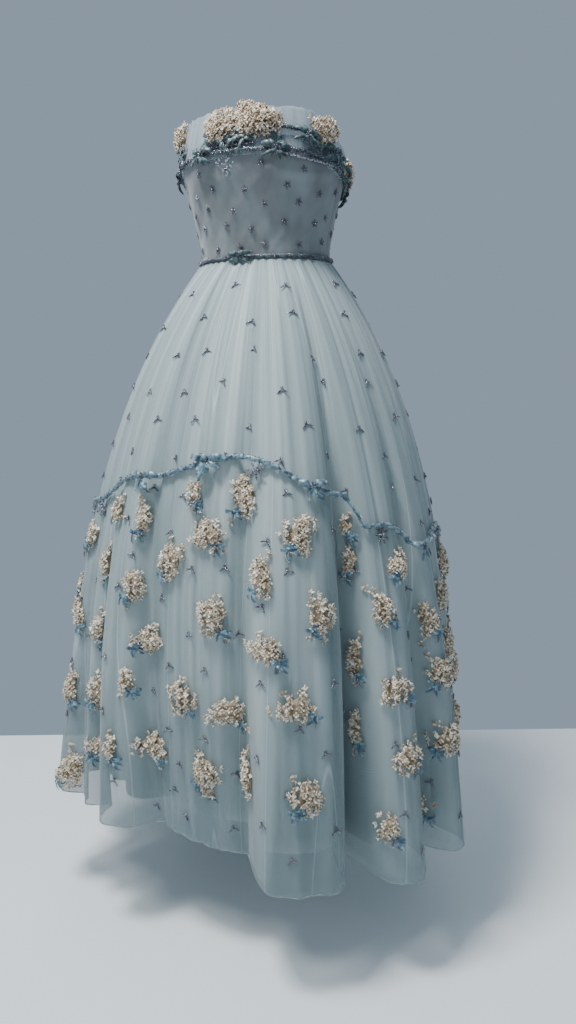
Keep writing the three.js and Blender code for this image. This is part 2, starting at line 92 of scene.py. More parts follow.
def makeLamps():
    for lamp in lamps:
        data = bpy.data.lights.new(lamp["name"], "AREA")
        data.size = lamp["size"]
        data.energy = lamp["power"]
        lampObject = bpy.data.objects.new(lamp["name"], data)
        lampObject.location = lamp["place"]
        aim = Vector(lamp["aim"]) - lampObject.location
        lampObject.rotation_euler = aim.to_track_quat("-Z", "Y").to_euler()
        bpy.context.scene.collection.objects.link(lampObject)
    world = bpy.data.worlds.new("room")
    world.use_nodes = True
    background = world.node_tree.nodes["Background"]
    background.inputs["Color"].default_value = room["colour"]
    background.inputs["Strength"].default_value = room["strength"]
    bpy.context.scene.world = world
    bpy.context.scene.cycles.transparent_max_bounces = 32  # the net lies in many layers


makeCamera()
makeLamps()
print("stage: camera and lamps")


# The hem's depth under the waist. It is lifted a little round one turn.
hem = {"front": 1.03, "back": 1.062, "lift": 0.024, "liftTurn": -42}


# Materials

# A screen colour, 0 to 255, as Blender's linear one
def colour(red, green, blue):
    def linear(value):
        share = value / 255
        return share / 12.92 if share <= 0.04045 else ((share + 0.055) / 1.055) ** 2.4
    return (linear(red), linear(green), linear(blue), 1)


def newMaterial(name, roughness, **sockets):
    material = bpy.data.materials.new(name)
    material.use_nodes = True
    shader = material.node_tree.nodes["Principled BSDF"]
    shader.inputs["Roughness"].default_value = roughness
    for socket, value in sockets.items():
        shader.inputs[socket.replace("_", " ")].default_value = value
    return material, material.node_tree.nodes, material.node_tree.links, shader


def addNode(nodes, kind, **settings):
    node = nodes.new(kind)
    for name, value in settings.items():
        if name.startswith("in_"):
            node.inputs[name[3:].replace("_", " ")].default_value = value
        else:
            setattr(node, name, value)
    return node


# Colours along a 0 to 1 value
def addRamp(nodes, links, source, stops):
    ramp = nodes.new("ShaderNodeValToRGB")
    while len(ramp.color_ramp.elements) < len(stops):
        ramp.color_ramp.elements.new(0.5)
    for element, (place, shade) in zip(ramp.color_ramp.elements, stops):
        element.position = place
        element.color = shade
    links.new(source, ramp.inputs["Fac"])
    return ramp.outputs["Color"]


def addNoise(nodes, links, source, scale, detail=2.0, roughness=0.5):
    made = addNode(nodes, "ShaderNodeTexNoise", in_Scale=scale, in_Detail=detail, in_Roughness=roughness)
    links.new(source, made.inputs["Vector"])
    return made.outputs["Fac"]


# The cloth's own UV map in metres, stretched so that threads and streaks run down the cloth
def addClothVector(nodes, links, across, down):
    coordinates = nodes.new("ShaderNodeTexCoord")
    mapping = addNode(nodes, "ShaderNodeMapping", in_Scale=(across, down, 1))
    links.new(coordinates.outputs["UV"], mapping.inputs["Vector"])
    return mapping.outputs["Vector"]


def addBump(nodes, links, shader, height, strength, distance):
    bump = addNode(nodes, "ShaderNodeBump", in_Strength=strength, in_Distance=distance)
    links.new(height, bump.inputs["Height"])
    links.new(bump.outputs["Normal"], shader.inputs["Normal"])


def addMath(nodes, links, operation, a, b):
    node = addNode(nodes, "ShaderNodeMath", operation=operation)
    for socket, value in ((0, a), (1, b)):
        if isinstance(value, (int, float)):
            node.inputs[socket].default_value = value
        else:
            links.new(value, node.inputs[socket])
    return node.outputs[0]


# Two sets of threads that cross on a slant, as in net and tulle
def addThreads(nodes, links, pitch):
    vector = addClothVector(nodes, links, 1, 1)
    threads = []
    for slant in (32, -32):
        turned = addNode(nodes, "ShaderNodeMapping", in_Rotation=(0, 0, math.radians(slant)))
        links.new(vector, turned.inputs["Vector"])
        wave = addNode(nodes, "ShaderNodeTexWave", in_Scale=0.314 / pitch, in_Distortion=0.6, in_Detail=0.0)
        links.new(turned.outputs["Vector"], wave.inputs["Vector"])
        threads.append(wave.outputs["Fac"])
    return addMath(nodes, links, "MAXIMUM", threads[0], threads[1])


# A value moved from one range to another and held at both ends
def addRange(nodes, links, source, fromRange, toRange):
    node = nodes.new("ShaderNodeMapRange")
    for socket, value in zip(("From Min", "From Max", "To Min", "To Max"), (*fromRange, *toRange)):
        node.inputs[socket].default_value = value
    links.new(source, node.inputs["Value"])
    return node.outputs[0]


threadHeight = 0.0004  # how deep the finish makes a thread or a speckle look
# Net is hazy, with soft bands down the cloth and a few thin lines, lighter and denser, that paint a highlight
# on folded edges. Streaks of gathered threads fade out under the waist, and painted shade darkens the net
# towards the hem.
netLook = {"dark": (134, 152, 156), "mid": (170, 187, 190), "light": (208, 220, 221),
           "cover": 0.42, "threadCover": 0.16, "streakCover": 0.3, "pitch": 0.0014, "bump": 0.12,
           "streaks": 0.2, "fade": 0.4, "farStreaks": 0.15, "line": 0.14, "highlightLineWidth": 0.008,
           "hem": 0.32, "hemShadeRise": 0.34}


def makeNet(name, look):
    material, nodes, links, shader = newMaterial(
        name, 0.8, Sheen_Weight=0.25, Sheen_Roughness=0.35, Specular_IOR_Level=0.2)
    streaks = addNoise(nodes, links, addClothVector(nodes, links, 150, 1.6), 1, 3)
    bands = addNoise(nodes, links, addClothVector(nodes, links, 16, 0.9), 1, 2)
    wander = addNoise(nodes, links, addClothVector(nodes, links, 13, 0.7), 1, 0.5)
    place = nodes.new("ShaderNodeSeparateXYZ")
    links.new(addClothVector(nodes, links, 1, 1), place.inputs[0])
    height = place.outputs["Y"]
    near = addRange(nodes, links, height, (-look["fade"], 0), (look["farStreaks"], 1))
    streaky = addMath(nodes, links, "MULTIPLY", addMath(nodes, links, "SUBTRACT", streaks, 0.5), near)
    # Thin wandering lines, lighter in colour as a painted highlight on folded edges of the net, and denser in
    # cover where the net doubles
    away = addMath(nodes, links, "ABSOLUTE", addMath(nodes, links, "SUBTRACT", wander, 0.5), 0)
    line = addRange(nodes, links, away, (0, look["highlightLineWidth"]), (look["line"], 0))
    # Painted shade: the net's colour is darkened over the lowest hemShadeRise of the skirt, where it hangs in
    # shadow
    low = addRange(nodes, links, height, (-hem["back"], look["hemShadeRise"] - hem["back"]), (-look["hem"], 0))
    tone = addMath(nodes, links, "MULTIPLY", streaky, look["streaks"] * 2)
    for change in (bands, line, low):
        tone = addMath(nodes, links, "ADD", tone, change)
    stops = [(0.25, colour(*look["dark"])), (0.5, colour(*look["mid"])), (0.78, colour(*look["light"]))]
    links.new(addRamp(nodes, links, tone, stops), shader.inputs["Base Color"])
    threads = addThreads(nodes, links, look["pitch"])
    cover = addMath(nodes, links, "MULTIPLY", threads, look["threadCover"])
    cover = addMath(nodes, links, "ADD", cover, look["cover"] - look["threadCover"] / 2)
    streakCover = addMath(nodes, links, "MULTIPLY", streaky, look["streakCover"])
    for more in (streakCover, line):
        cover = addMath(nodes, links, "ADD", cover, more)
    links.new(cover, shader.inputs["Alpha"])
    addBump(nodes, links, shader, threads, look["bump"], threadHeight)
    return material


clothLook = {
    "lining": {"stops": [(0.35, (140, 158, 158)), (0.65, (165, 182, 181))], "roughness": 0.42, "sheen": 0.3,
               "across": 20, "down": 1.5, "pitch": 0.0007, "strength": 0.12},
    "bodice": {"stops": [(0.34, (112, 116, 118)), (0.66, (134, 143, 146))], "roughness": 0.75, "sheen": 0.3,
               "across": 6, "down": 12, "pitch": 0.0012, "strength": 0.12},
}


def makeCloth(name, look):
    material, nodes, links, shader = newMaterial(
        name, look["roughness"], Sheen_Weight=look["sheen"], Sheen_Roughness=0.4, Specular_IOR_Level=0.3)
    tone = addNoise(nodes, links, addClothVector(nodes, links, look["across"], look["down"]), 1, 3)
    stops = [(place, colour(*shade)) for place, shade in look["stops"]]
    links.new(addRamp(nodes, links, tone, stops), shader.inputs["Base Color"])
    addBump(nodes, links, shader, addThreads(nodes, links, look["pitch"]), look["strength"], threadHeight)
    return material


# A finish that varies over the object's own place, for the small pieces
def makeSpeckled(name, stops, scale, roughness, bump, **sockets):
    material, nodes, links, shader = newMaterial(name, roughness, **sockets)
    place = nodes.new("ShaderNodeTexCoord").outputs["Object"]
    tone = addNoise(nodes, links, place, scale, 3, 0.6)
    shades = [(at, colour(*shade)) for at, shade in stops]
    links.new(addRamp(nodes, links, tone, shades), shader.inputs["Base Color"])
    addBump(nodes, links, shader, addNoise(nodes, links, place, scale * 6, 2), bump, threadHeight)
    return material


materials = {
    "net": makeNet("netCloth", netLook),
    "band": makeNet("bandNet", dict(
        netLook, dark=(128, 142, 150), mid=(158, 173, 180), light=(194, 206, 210),
        cover=0.38, streaks=0.03, line=0, hem=0)),
    "lining": makeCloth("liningSatin", clothLook["lining"]),
    "bodice": makeCloth("bodiceNet", clothLook["bodice"]),
    "placket": makeSpeckled(
        "placketNet", [(0.34, (112, 116, 118)), (0.66, (134, 143, 146))], 40, 0.75, 0.1),
    "ribbon": makeSpeckled(
        "blueRibbon", [(0.34, (44, 72, 88)), (0.5, (84, 118, 132)), (0.68, (148, 184, 192))],
        120, 0.35, 0.15, Sheen_Weight=0.3, Specular_IOR_Level=0.6),
    "deep": makeSpeckled(
        "deepBlueRibbon", [(0.34, (30, 54, 70)), (0.5, (62, 98, 118)), (0.68, (132, 172, 186))],
        120, 0.35, 0.15, Sheen_Weight=0.3, Specular_IOR_Level=0.6),
    "teal": makeSpeckled(
        "tealRibbon", [(0.34, (18, 34, 40)), (0.52, (42, 70, 76)), (0.72, (116, 152, 152))],
        110, 0.4, 0.2, Sheen_Weight=0.3, Specular_IOR_Level=0.5),
    # Painted highlight and shade: the blossoms' tone varies at random between beige and cream, and the
    # darkest and lightest stops stand for the shade between petals and the light on them
    "flower": makeSpeckled(
        "creamFlower", [(0.38, (140, 116, 84)), (0.5, (206, 190, 162)), (0.6, (252, 248, 238))],
        170, 0.5, 0.2, Sheen_Weight=0.2),
    "bustFlower": makeSpeckled(
        "beigeFlower", [(0.38, (116, 92, 64)), (0.5, (186, 164, 134)), (0.62, (250, 244, 230))],
        170, 0.45, 0.2, Sheen_Weight=0.2),
    # Partly painted shade: the beige of the stems and net is kept dark to stand for the shade between the
    # blossoms
    "stemAndShade": makeSpeckled(
        "beigeStemAndShade", [(0.35, (140, 122, 98)), (0.65, (178, 162, 138))], 240, 0.75, 0.6),
    "bead": makeSpeckled(
        "darkSilverBead", [(0.3, (52, 54, 66)), (0.5, (112, 110, 124)), (0.7, (196, 188, 196))],
        320, 0.22, 0.1, Metallic=0.85),
    "silver": makeSpeckled(
        "silverBead", [(0.35, (96, 100, 110)), (0.65, (214, 218, 224))], 300, 0.2, 0.2, Metallic=0.8),
    "crystal": makeSpeckled(
        "paleCrystal", [(0.3, (150, 166, 180)), (0.7, (232, 238, 244))],
        260, 0.12, 0.05, Metallic=0.6, Coat_Weight=0.6),
}
print("stage: materials")


# The shape of the skirt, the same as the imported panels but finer
waist = {"halfWidth": 0.13, "halfDepth": 0.096}
bell = {"widthGain": 0.272, "depthGain": 0.302, "ease": 0.36}
gathers = {"count": 44, "height": 0.0032, "fade": 0.26}
foldShape = {"valley": -0.06, "growth": 1.7, "square": 2.6, "round": 1.3}
folds = [  # the turn of each crest, its width in degrees, and its reach over the valley at the hem
    {"turn": 4, "width": 36, "reach": 0.025},
    {"turn": 35.5, "width": 30, "reach": 0.092, "square": 5, "growth": 1.2},
    {"turn": 50.5, "width": 10, "reach": -0.052, "growth": 1.1},
    {"turn": 61.5, "width": 25, "reach": 0.116},
    {"turn": 80, "width": 16, "reach": 0.112},
    {"turn": 97, "width": 16, "reach": 0.06},
    {"turn": 114, "width": 18, "reach": 0.078},
    {"turn": 131, "width": 15, "reach": 0.052},
    {"turn": 148, "width": 18, "reach": 0.084},
    {"turn": 165, "width": 15, "reach": 0.056},
    {"turn": 183, "width": 20, "reach": 0.09},
    {"turn": 201, "width": 15, "reach": 0.054},
    {"turn": 218, "width": 19, "reach": 0.082},
    {"turn": 235, "width": 14, "reach": 0.05},
    {"turn": 251, "width": 17, "reach": 0.074},
    {"turn": 267, "width": 14, "reach": 0.054},
    {"turn": 284, "width": 19, "reach": 0.072},
    {"turn": 307, "width": 22, "reach": 0.1},
    {"turn": 320, "width": 11, "reach": 0.058},
    {"turn": 334, "width": 20, "reach": 0.052},
]
tuck = {"turn": 2, "width": 54, "reach": -0.05}
ripples = {"spacing": 9.0, "depth": 0.0065, "fineSpacing": 22.0, "fineDepth": 0.0028}


def ovalRadius(turn, halfWidth, halfDepth):
    direction = outwards(turn)
    return 1 / math.hypot(direction.x / halfWidth, direction.y / halfDepth)


def crest(turn, fold):
    off = abs(fromFront(turn - fold["turn"])) / (fold["width"] / 2)
    square = fold.get("square", foldShape["square"])
    return fold["reach"] * (1 - off ** square) ** foldShape["round"] if off < 1 else 0


def hemDrop(turn):
    lifted = max(0, math.cos(math.radians(turn - hem["liftTurn"]))) ** 3
    return mix(hem["front"], hem["back"], (1 - math.cos(math.radians(turn))) / 2) - hem["lift"] * lifted


def bellRadius(turn, drop):
    swell = 1 - math.exp(-max(drop, 0) / bell["ease"])
    return ovalRadius(turn, waist["halfWidth"] + bell["widthGain"] * swell,
                      waist["halfDepth"] + bell["depthGain"] * swell)


def foldHeight(turn, drop):
    depth = max(drop, 0) / hem["front"]
    between = (foldShape["valley"] + crest(turn, tuck)) * depth ** foldShape["growth"]
    crests = sum(crest(turn, fold) * depth ** fold.get("growth", foldShape["growth"]) for fold in folds)
    return between + crests


# Small uneven creases that run down the cloth, sharper at their ridges than in their troughs
def rippleHeight(turn, drop, seed):
    direction = outwards(turn)
    wide = noise.noise(direction * ripples["spacing"] + Vector((seed, 0, drop * 0.9)))
    fine = noise.noise(direction * ripples["fineSpacing"] + Vector((0, seed, drop * 1.6)))
    start = ease(drop, 0, 0.12)
    coarse = ripples["depth"] * (0.5 - 2 * abs(wide)) * ease(drop, 0.05, 0.6)
    return coarse + ripples["fineDepth"] * (0.5 - 2 * abs(fine)) * start


def overskirtRadius(turn, height):
    drop = max(-height, 0)
    gather = math.cos(math.radians(turn * gathers["count"])) * math.exp(-drop / gathers["fade"])
    pinched = gathers["height"] * gather * (0.6 + 0.8 * noise.noise(outwards(turn) * 7))
    return bellRadius(turn, drop) + foldHeight(turn, drop) + pinched + rippleHeight(turn, drop, 3)


underskirt = {"waistGap": 0.0058, "hipGap": 0.014, "hipDrop": 0.4, "hemGap": 0.036, "foldShare": 0.8,
              "shorter": 0.038, "thickness": 0.0012, "columns": 0.8, "rows": 36}


def underskirtRadius(turn, height):
    drop = max(-height, 0)
    growth = (drop / hem["front"]) ** foldShape["growth"]
    standoff = (underskirt["waistGap"] + underskirt["hipGap"] * ease(drop, 0, underskirt["hipDrop"])
                + underskirt["hemGap"] * growth)
    return (bellRadius(turn, drop) + underskirt["foldShare"] * foldHeight(turn, drop) - standoff
            + 0.5 * rippleHeight(turn, drop, 11))


# The shape of the bodice: half its size at each rise
bodiceSections = [
    {"rise": 0.0, "side": 0.126, "front": 0.092, "back": 0.092},
    {"rise": 0.04, "side": 0.128, "front": 0.1, "back": 0.094},
    {"rise": 0.1, "side": 0.141, "front": 0.121, "back": 0.1},
    {"rise": 0.155, "side": 0.153, "front": 0.14, "back": 0.106},
    {"rise": 0.2, "side": 0.152, "front": 0.137, "back": 0.108},
    {"rise": 0.245, "side": 0.147, "front": 0.125, "back": 0.108},
    {"rise": 0.3, "side": 0.141, "front": 0.114, "back": 0.106},
]
bust = {"rise": 0.171, "fall": 0.063, "from": 45, "to": 150}
topEdge = {"rise": 0.242, "fall": 0.08, "from": 50, "to": 125}
bodice = {"top": 0.025, "thickness": 0.0016, "sideSeam": 88, "columns": 0.6, "rows": 42, "crease": 0.0022}
band = {"below": 0.008, "gap": 0.0019, "thickness": 0.0005, "opening": 8, "frill": 0.0025,
        "columns": 1.0, "rows": 14}


# The rise of a line that is level over the front and falls to the back
def lineRise(line, turn):
    return line["rise"] - line["fall"] * ease(abs(fromFront(turn)), line["from"], line["to"])


def bustRise(turn):
    return lineRise(bust, turn)


# A smooth curve through the sections
def sectionValue(name, rise):
    last = len(bodiceSections) - 1
    i = next((n for n in range(last) if rise < bodiceSections[n + 1]["rise"]), last - 1)
    points = [bodiceSections[min(max(n, 0), last)] for n in range(i - 1, i + 3)]
    t = (rise - points[1]["rise"]) / (points[2]["rise"] - points[1]["rise"])
    before, low, high, after = (point[name] for point in points)
    return 0.5 * (2 * low + (high - before) * t + (2 * before - 5 * low + 4 * high - after) * t * t
                  + (3 * low - before - 3 * high + after) * t ** 3)


def plainBodiceRadius(turn, rise):
    toFront = ease(math.cos(math.radians(turn)), -0.08, 0.08)
    depth = mix(sectionValue("back", rise), sectionValue("front", rise), toFront)
    return ovalRadius(turn, sectionValue("side", rise), depth)


# The net is laid over the bodice on a slant, in soft creases. A swag hangs under the cord at the left side.
swag = {"turn": 52, "halfTurn": 34, "rise": 0.15, "sag": 0.014, "wide": 0.007, "high": 0.0035}


def bodiceRadius(turn, rise):
    slant = turn * 0.03 - rise * 14
    fine = noise.noise(Vector((slant * 2.7, rise * 5, 9)))
    crease = noise.noise(Vector((slant, turn * 0.006, 5))) + 0.4 * fine
    pulled = noise.noise(Vector((turn * 0.16, rise * 2.5, 3))) * ease(abs(fromFront(turn)), 60, 85)
    aside = (turn - swag["turn"]) / swag["halfTurn"]
    ridge = 0
    if abs(aside) < 1:
        off = (rise - swag["rise"] + swag["sag"] * (1 - aside ** 2)) / swag["wide"]
        ridge = swag["high"] * (1 - aside ** 2) * math.exp(-off * off)
    soft = bodice["crease"] * (0.3 - abs(crease) + 0.8 * pulled)
    return plainBodiceRadius(turn, rise) + (soft + ridge) * ease(rise, 0, 0.02)


def bandRadius(turn, rise):
    over = max(0, rise - bustRise(turn) - bodice["top"]) / 0.03
    frill = band["frill"] * over * noise.noise(outwards(turn) * 9 + Vector((0, 0, rise * 9)))
    return plainBodiceRadius(turn, rise) + band["gap"] + frill


# Cloth sheets

def surfacePoint(radiusAt, turn, height):
    return outwards(turn) * radiusAt(turn, height) + Vector((0, 0, height))


# A point of a surface given as a radius by turn and height, with the three directions there
def surfaceFrame(radiusAt, turn, height, out=0.0):
    here = surfacePoint(radiusAt, turn, height)
    beside = surfacePoint(radiusAt, turn + 0.6, height)
    above = surfacePoint(radiusAt, turn, height + 0.003)
    along = (beside - here).normalized()
    normal = along.cross(above - here).normalized()
    return here + normal * out, along, normal.cross(along), normal


def linkPiece(name, mesh, material, nodes=()):
    piece = bpy.data.objects.new(name, mesh)
    bpy.context.scene.collection.objects.link(piece)
    mesh.materials.clear()
    mesh.materials.append(material)
    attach(piece, "root")
    if nodes:
        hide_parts(*nodes)
    return piece


def finishMesh(bm, name, smooth=True):
    mesh = bpy.data.meshes.new(name)
    for face in bm.faces:
        face.smooth = smooth
    bm.to_mesh(mesh)
    bm.free()
    return mesh


# A sheet of cloth between two turns, its grid bent to a surface. topAt and bottomAt give its edges.
def clothSheet(name, radiusAt, turns, topAt, bottomAt, sizes):
    bm = bmesh.new()
    columns = max(4, round((turns[1] - turns[0]) * sizes["columns"]))
    bunch = sizes.get("bunch", 1.0)
    bmesh.ops.create_grid(bm, x_segments=columns, y_segments=sizes["rows"], size=1, calc_uvs=True)
    uvLayer = bm.loops.layers.uv.verify()
    for face in bm.faces:
        for loop in face.loops:
            turn = mix(*turns, (loop.vert.co.x + 1) / 2)
            share = ((1 - loop.vert.co.y) / 2) ** bunch
            loop[uvLayer].uv = (turn / 360 * 2.5, mix(topAt(turn), bottomAt(turn), share))
    for vert in bm.verts:
        turn = mix(*turns, (vert.co.x + 1) / 2)
        height = mix(topAt(turn), bottomAt(turn), ((1 - vert.co.y) / 2) ** bunch)
        vert.co = surfacePoint(radiusAt, turn, height)
    return finishMesh(bm, name)


def addThickness(piece, thickness):
    solid = piece.modifiers.new("thickness", "SOLIDIFY")
    solid.thickness = thickness
    solid.offset = -1
    solid.use_even_offset = False


def pathLength(points):
    return sum((b - a).length for a, b in zip(points, points[1:]))


# The cut of a gathered panel: its width along the wide edge and its length down the slope are worked out here
# but not used, and the gathered share of its area is not used either
cut = {"gathered": 1.08, "edgeSteps": 400, "slopeSteps": 60}


def declareCut(radiusAt, turns, narrowAt, wideAt):
    around = [mix(*turns, i / cut["edgeSteps"]) for i in range(cut["edgeSteps"] + 1)]
    width = pathLength([outwards(turn) * radiusAt(turn, wideAt(turn)) for turn in around])
    middle = sum(turns) / 2
    shares = [i / cut["slopeSteps"] for i in range(cut["slopeSteps"] + 1)]
    heights = [mix(narrowAt(middle), wideAt(middle), share) for share in shares]
    length = pathLength([surfacePoint(radiusAt, middle, height) for height in heights])


overskirt = {"thickness": 0.0005, "seam": 0.03, "columns": 1.5, "rows": 76, "bunch": 1.35}
overskirtSeams = [
    {"name": "front", "from": -41, "to": 50},
    {"name": "front_left", "from": 50, "to": 102},
    {"name": "back_left", "from": 102, "to": 160},
    {"name": "back", "from": 160, "to": 215},
    {"name": "back_right", "from": 215, "to": 270},
    {"name": "front_right", "from": 270, "to": 319},
]


def waistEdge(turn):
    return -0.0003


# A front and two backs, seamed at the sides
def frontAndBacks(name):
    side = bodice["sideSeam"]
    return {f"{name}_front": (-side, side), f"{name}_back_left": (side, 180),
            f"{name}_back_right": (180, 360 - side)}


def makeOverskirt():
    def bottomAt(turn):
        return -hemDrop(turn)
    for seam in overskirtSeams:
        node = f"overskirt_{seam['name']}"
        turns = (seam["from"] + overskirt["seam"], seam["to"] - overskirt["seam"])
        mesh = clothSheet(f"{node}_net", overskirtRadius, turns, waistEdge, bottomAt, overskirt)
        piece = linkPiece(mesh.name, mesh, materials["net"], [node])
        declareCut(overskirtRadius, turns, waistEdge, bottomAt)
        addThickness(piece, overskirt["thickness"])


def makeUnderskirt():
    def bottomAt(turn):
        return -(hemDrop(turn) - underskirt["shorter"])
    for node, turns in frontAndBacks("underskirt").items():
        mesh = clothSheet(f"{node}_cloth", underskirtRadius, turns, waistEdge, bottomAt, underskirt)
        piece = linkPiece(mesh.name, mesh, materials["lining"], [node])
        declareCut(underskirtRadius, turns, waistEdge, bottomAt)
        addThickness(piece, underskirt["thickness"])


def makeBodice():
    def topAt(turn):
        return bustRise(turn) + bodice["top"]
    def bottomAt(turn):
        return 0.0003
    for node, turns in frontAndBacks("bodice").items():
        mesh = clothSheet(f"{node}_cloth", bodiceRadius, turns, topAt, bottomAt, bodice)
        piece = linkPiece(mesh.name, mesh, materials["bodice"], [node])
        declareCut(bodiceRadius, turns, bottomAt, topAt)
        addThickness(piece, bodice["thickness"])


def makeBand():
    opening = band["opening"]
    spans = {"neck_band_right": (-180 + opening, 0), "neck_band_left": (0, 180 - opening)}
    def topAt(turn):
        return lineRise(topEdge, turn) + 0.002 + 0.004 * noise.noise(outwards(turn) * 12)
    def bottomAt(turn):
        return bustRise(turn) - band["below"]
    for node, turns in spans.items():
        mesh = clothSheet(f"{node}_net", bandRadius, turns, topAt, bottomAt, band)
        piece = linkPiece(mesh.name, mesh, materials["band"], [node])
        declareCut(bandRadius, turns, topAt, bottomAt)
        addThickness(piece, band["thickness"])


makeOverskirt()
makeUnderskirt()
makeBodice()
makeBand()
print("stage: skirts, bodice and band")


# Many small copies joined in one piece

# Appends a changed copy of a small mesh to a growing one
def addCopy(bm, mesh, matrix):
    copy = mesh.copy()
    copy.transform(matrix)
    bm.from_mesh(copy)
    bpy.data.meshes.remove(copy)


def frameMatrix(point, along, up, normal, size=1.0):
    turned = Matrix((along, up, normal)).transposed().to_4x4()
    return Matrix.Translation(point) @ turned @ Matrix.Scale(size, 4)


# A small blossom of four closed petals round a bud, cupped, its face towards +Z
blossom = {"petals": 4, "long": 0.0033, "wide": 0.002, "thick": 0.0008, "out": 0.0029, "tilt": 38,
           "bud": 0.0012}


def blossomMesh():
    bm = bmesh.new()
    for i in range(blossom["petals"]):
        petal = bmesh.ops.create_uvsphere(bm, u_segments=4, v_segments=3, radius=1)["verts"]
        bend = Matrix.Rotation(-math.radians(blossom["tilt"]), 4, "Y")
        turned = Matrix.Rotation(2 * math.pi * i / blossom["petals"], 4, "Z")
        sized = Matrix.Diagonal((blossom["long"], blossom["wide"], blossom["thick"], 1))
        placed = turned @ bend @ Matrix.Translation((blossom["out"], 0, 0)) @ sized
        bmesh.ops.transform(bm, matrix=placed, verts=petal)
    bud = bmesh.ops.create_uvsphere(bm, u_segments=4, v_segments=2, radius=blossom["bud"])["verts"]
    bmesh.ops.translate(bm, vec=(0, 0, blossom["bud"]), verts=bud)
    return finishMesh(bm, "blossom")


# A low closed mound of net and stems under the blossoms, whose darker beige is also painted shade between
# them
def moundMesh():
    bm = bmesh.new()
    bmesh.ops.create_uvsphere(bm, u_segments=14, v_segments=6, radius=1)
    for vert in bm.verts:
        rough = 1 + 0.3 * noise.noise(vert.co * 3)
        under = 1 if vert.co.z > 0 else 0.1  # the underside is nearly flat
        vert.co = Vector((vert.co.x * rough, vert.co.y * rough, vert.co.z * rough * under))
    return finishMesh(bm, "mound")


def beadMesh(radius):
    bm = bmesh.new()
    bmesh.ops.create_icosphere(bm, subdivisions=1, radius=radius)
    return finishMesh(bm, "bead")


# Ribbon bows, flat at first, each a star of loops and tails round a knot. The face is towards +Z.
# Each leaf has its angle from level, its length, its width, and how far it puffs up.
bows = {
    "small": [(18, 0.014, 0.0055, 0.004), (160, 0.013, 0.005, 0.004), (-22, 0.015, 0.0035, 0.002),
              (-58, 0.02, 0.0035, 0.002), (-112, 0.018, 0.0035, 0.002)],
    "garland": [(10, 0.023, 0.008, 0.005), (30, 0.014, 0.006, 0.004), (170, 0.022, 0.008, 0.005),
                (-58, 0.03, 0.0045, 0.002), (-76, 0.022, 0.003, 0.002), (-114, 0.027, 0.0045, 0.002)],
    "double": [(8, 0.033, 0.009, 0.006), (28, 0.019, 0.007, 0.005), (172, 0.032, 0.009, 0.006),
               (156, 0.019, 0.007, 0.005), (-112, 0.036, 0.006, 0.003), (-88, 0.02, 0.004, 0.002),
               (-36, 0.024, 0.005, 0.003)],
    "bust": [(14, 0.024, 0.0055, 0.005), (44, 0.016, 0.0045, 0.005), (140, 0.017, 0.0045, 0.005),
             (165, 0.024, 0.0055, 0.005), (-32, 0.026, 0.0035, 0.003), (-64, 0.018, 0.0035, 0.003),
             (-118, 0.014, 0.003, 0.003), (-146, 0.027, 0.0035, 0.003)],
    "waist": [(12, 0.025, 0.006, 0.005), (38, 0.014, 0.005, 0.005), (168, 0.025, 0.006, 0.005),
              (142, 0.014, 0.005, 0.005), (-28, 0.023, 0.004, 0.002), (-60, 0.016, 0.003, 0.002),
              (-122, 0.018, 0.003, 0.002), (-152, 0.022, 0.004, 0.002)],
}
ribbon = {"thickness": 0.0007, "backPuff": 0.15, "layer": 0.0004, "crease": 0.0014, "curl": 0.06,
          "knot": 0.0042, "knotFlat": 0.8, "knotOut": 0.002}


def bowMesh(name, leaves, layers=(0, 1), steps=8):
    bm = bmesh.new()
    for number, (angle, length, width, puff) in enumerate(leaves):
        direction = math.radians(angle)
        for layer in layers:  # the back and the front of a loop
            grid = bmesh.ops.create_grid(bm, x_segments=steps, y_segments=2, size=1)
            for vert in grid["verts"]:
                t = (vert.co.x + 1) / 2
                swell = math.sin(math.pi * t)
                wide = width / 2 * (0.25 + 1.1 * math.sin(math.pi * min(t * 0.86 + 0.03, 1)) ** 0.7)
                lift = puff * swell * (1 if layer else ribbon["backPuff"]) + ribbon["layer"] * number
                crease = ribbon["crease"] * abs(vert.co.y) * swell
                curl = ribbon["curl"] * length * math.sin(t * 3 + number)
                along, beside = t * length, vert.co.y * wide + curl
                vert.co = Vector((along * math.cos(direction) - beside * math.sin(direction),
                                  along * math.sin(direction) + beside * math.cos(direction), lift + crease))
    bmesh.ops.solidify(bm, geom=list(bm.faces), thickness=-ribbon["thickness"])
    knot = bmesh.ops.create_icosphere(bm, subdivisions=2 if steps > 6 else 1, radius=ribbon["knot"])
    bmesh.ops.scale(bm, vec=(1, 1, ribbon["knotFlat"]), verts=knot["verts"])
    bmesh.ops.translate(bm, vec=(0, 0, ribbon["knotOut"]), verts=knot["verts"])
    return finishMesh(bm, name)


# How many degrees of turn a metre along the cloth takes at a place
def degreesPerMetre(radiusAt, turn, height, span=1.5):
    left, right = (outwards(t) * radiusAt(t, height) for t in (turn - span, turn + span))
    return 2 * span / (right - left).length


# Bends a flat mesh onto a surface, leaning by an angle from level
def bentCopy(mesh, radiusAt, turn, height, out, lean=0.0, size=1.0):
    copy = mesh.copy()
    step = degreesPerMetre(radiusAt, turn, height)
    spin = Matrix.Rotation(math.radians(lean), 3, "Z")
    for vert in copy.vertices:
        local = spin @ vert.co * size
        aside = local.x * step
        vert.co = surfaceFrame(radiusAt, turn + aside, height + local.y, out + local.z)[0]
    return copy


def addBent(bm, mesh, *place, **more):
    copy = bentCopy(mesh, *place, **more)
    bm.from_mesh(copy)
    bpy.data.meshes.remove(copy)


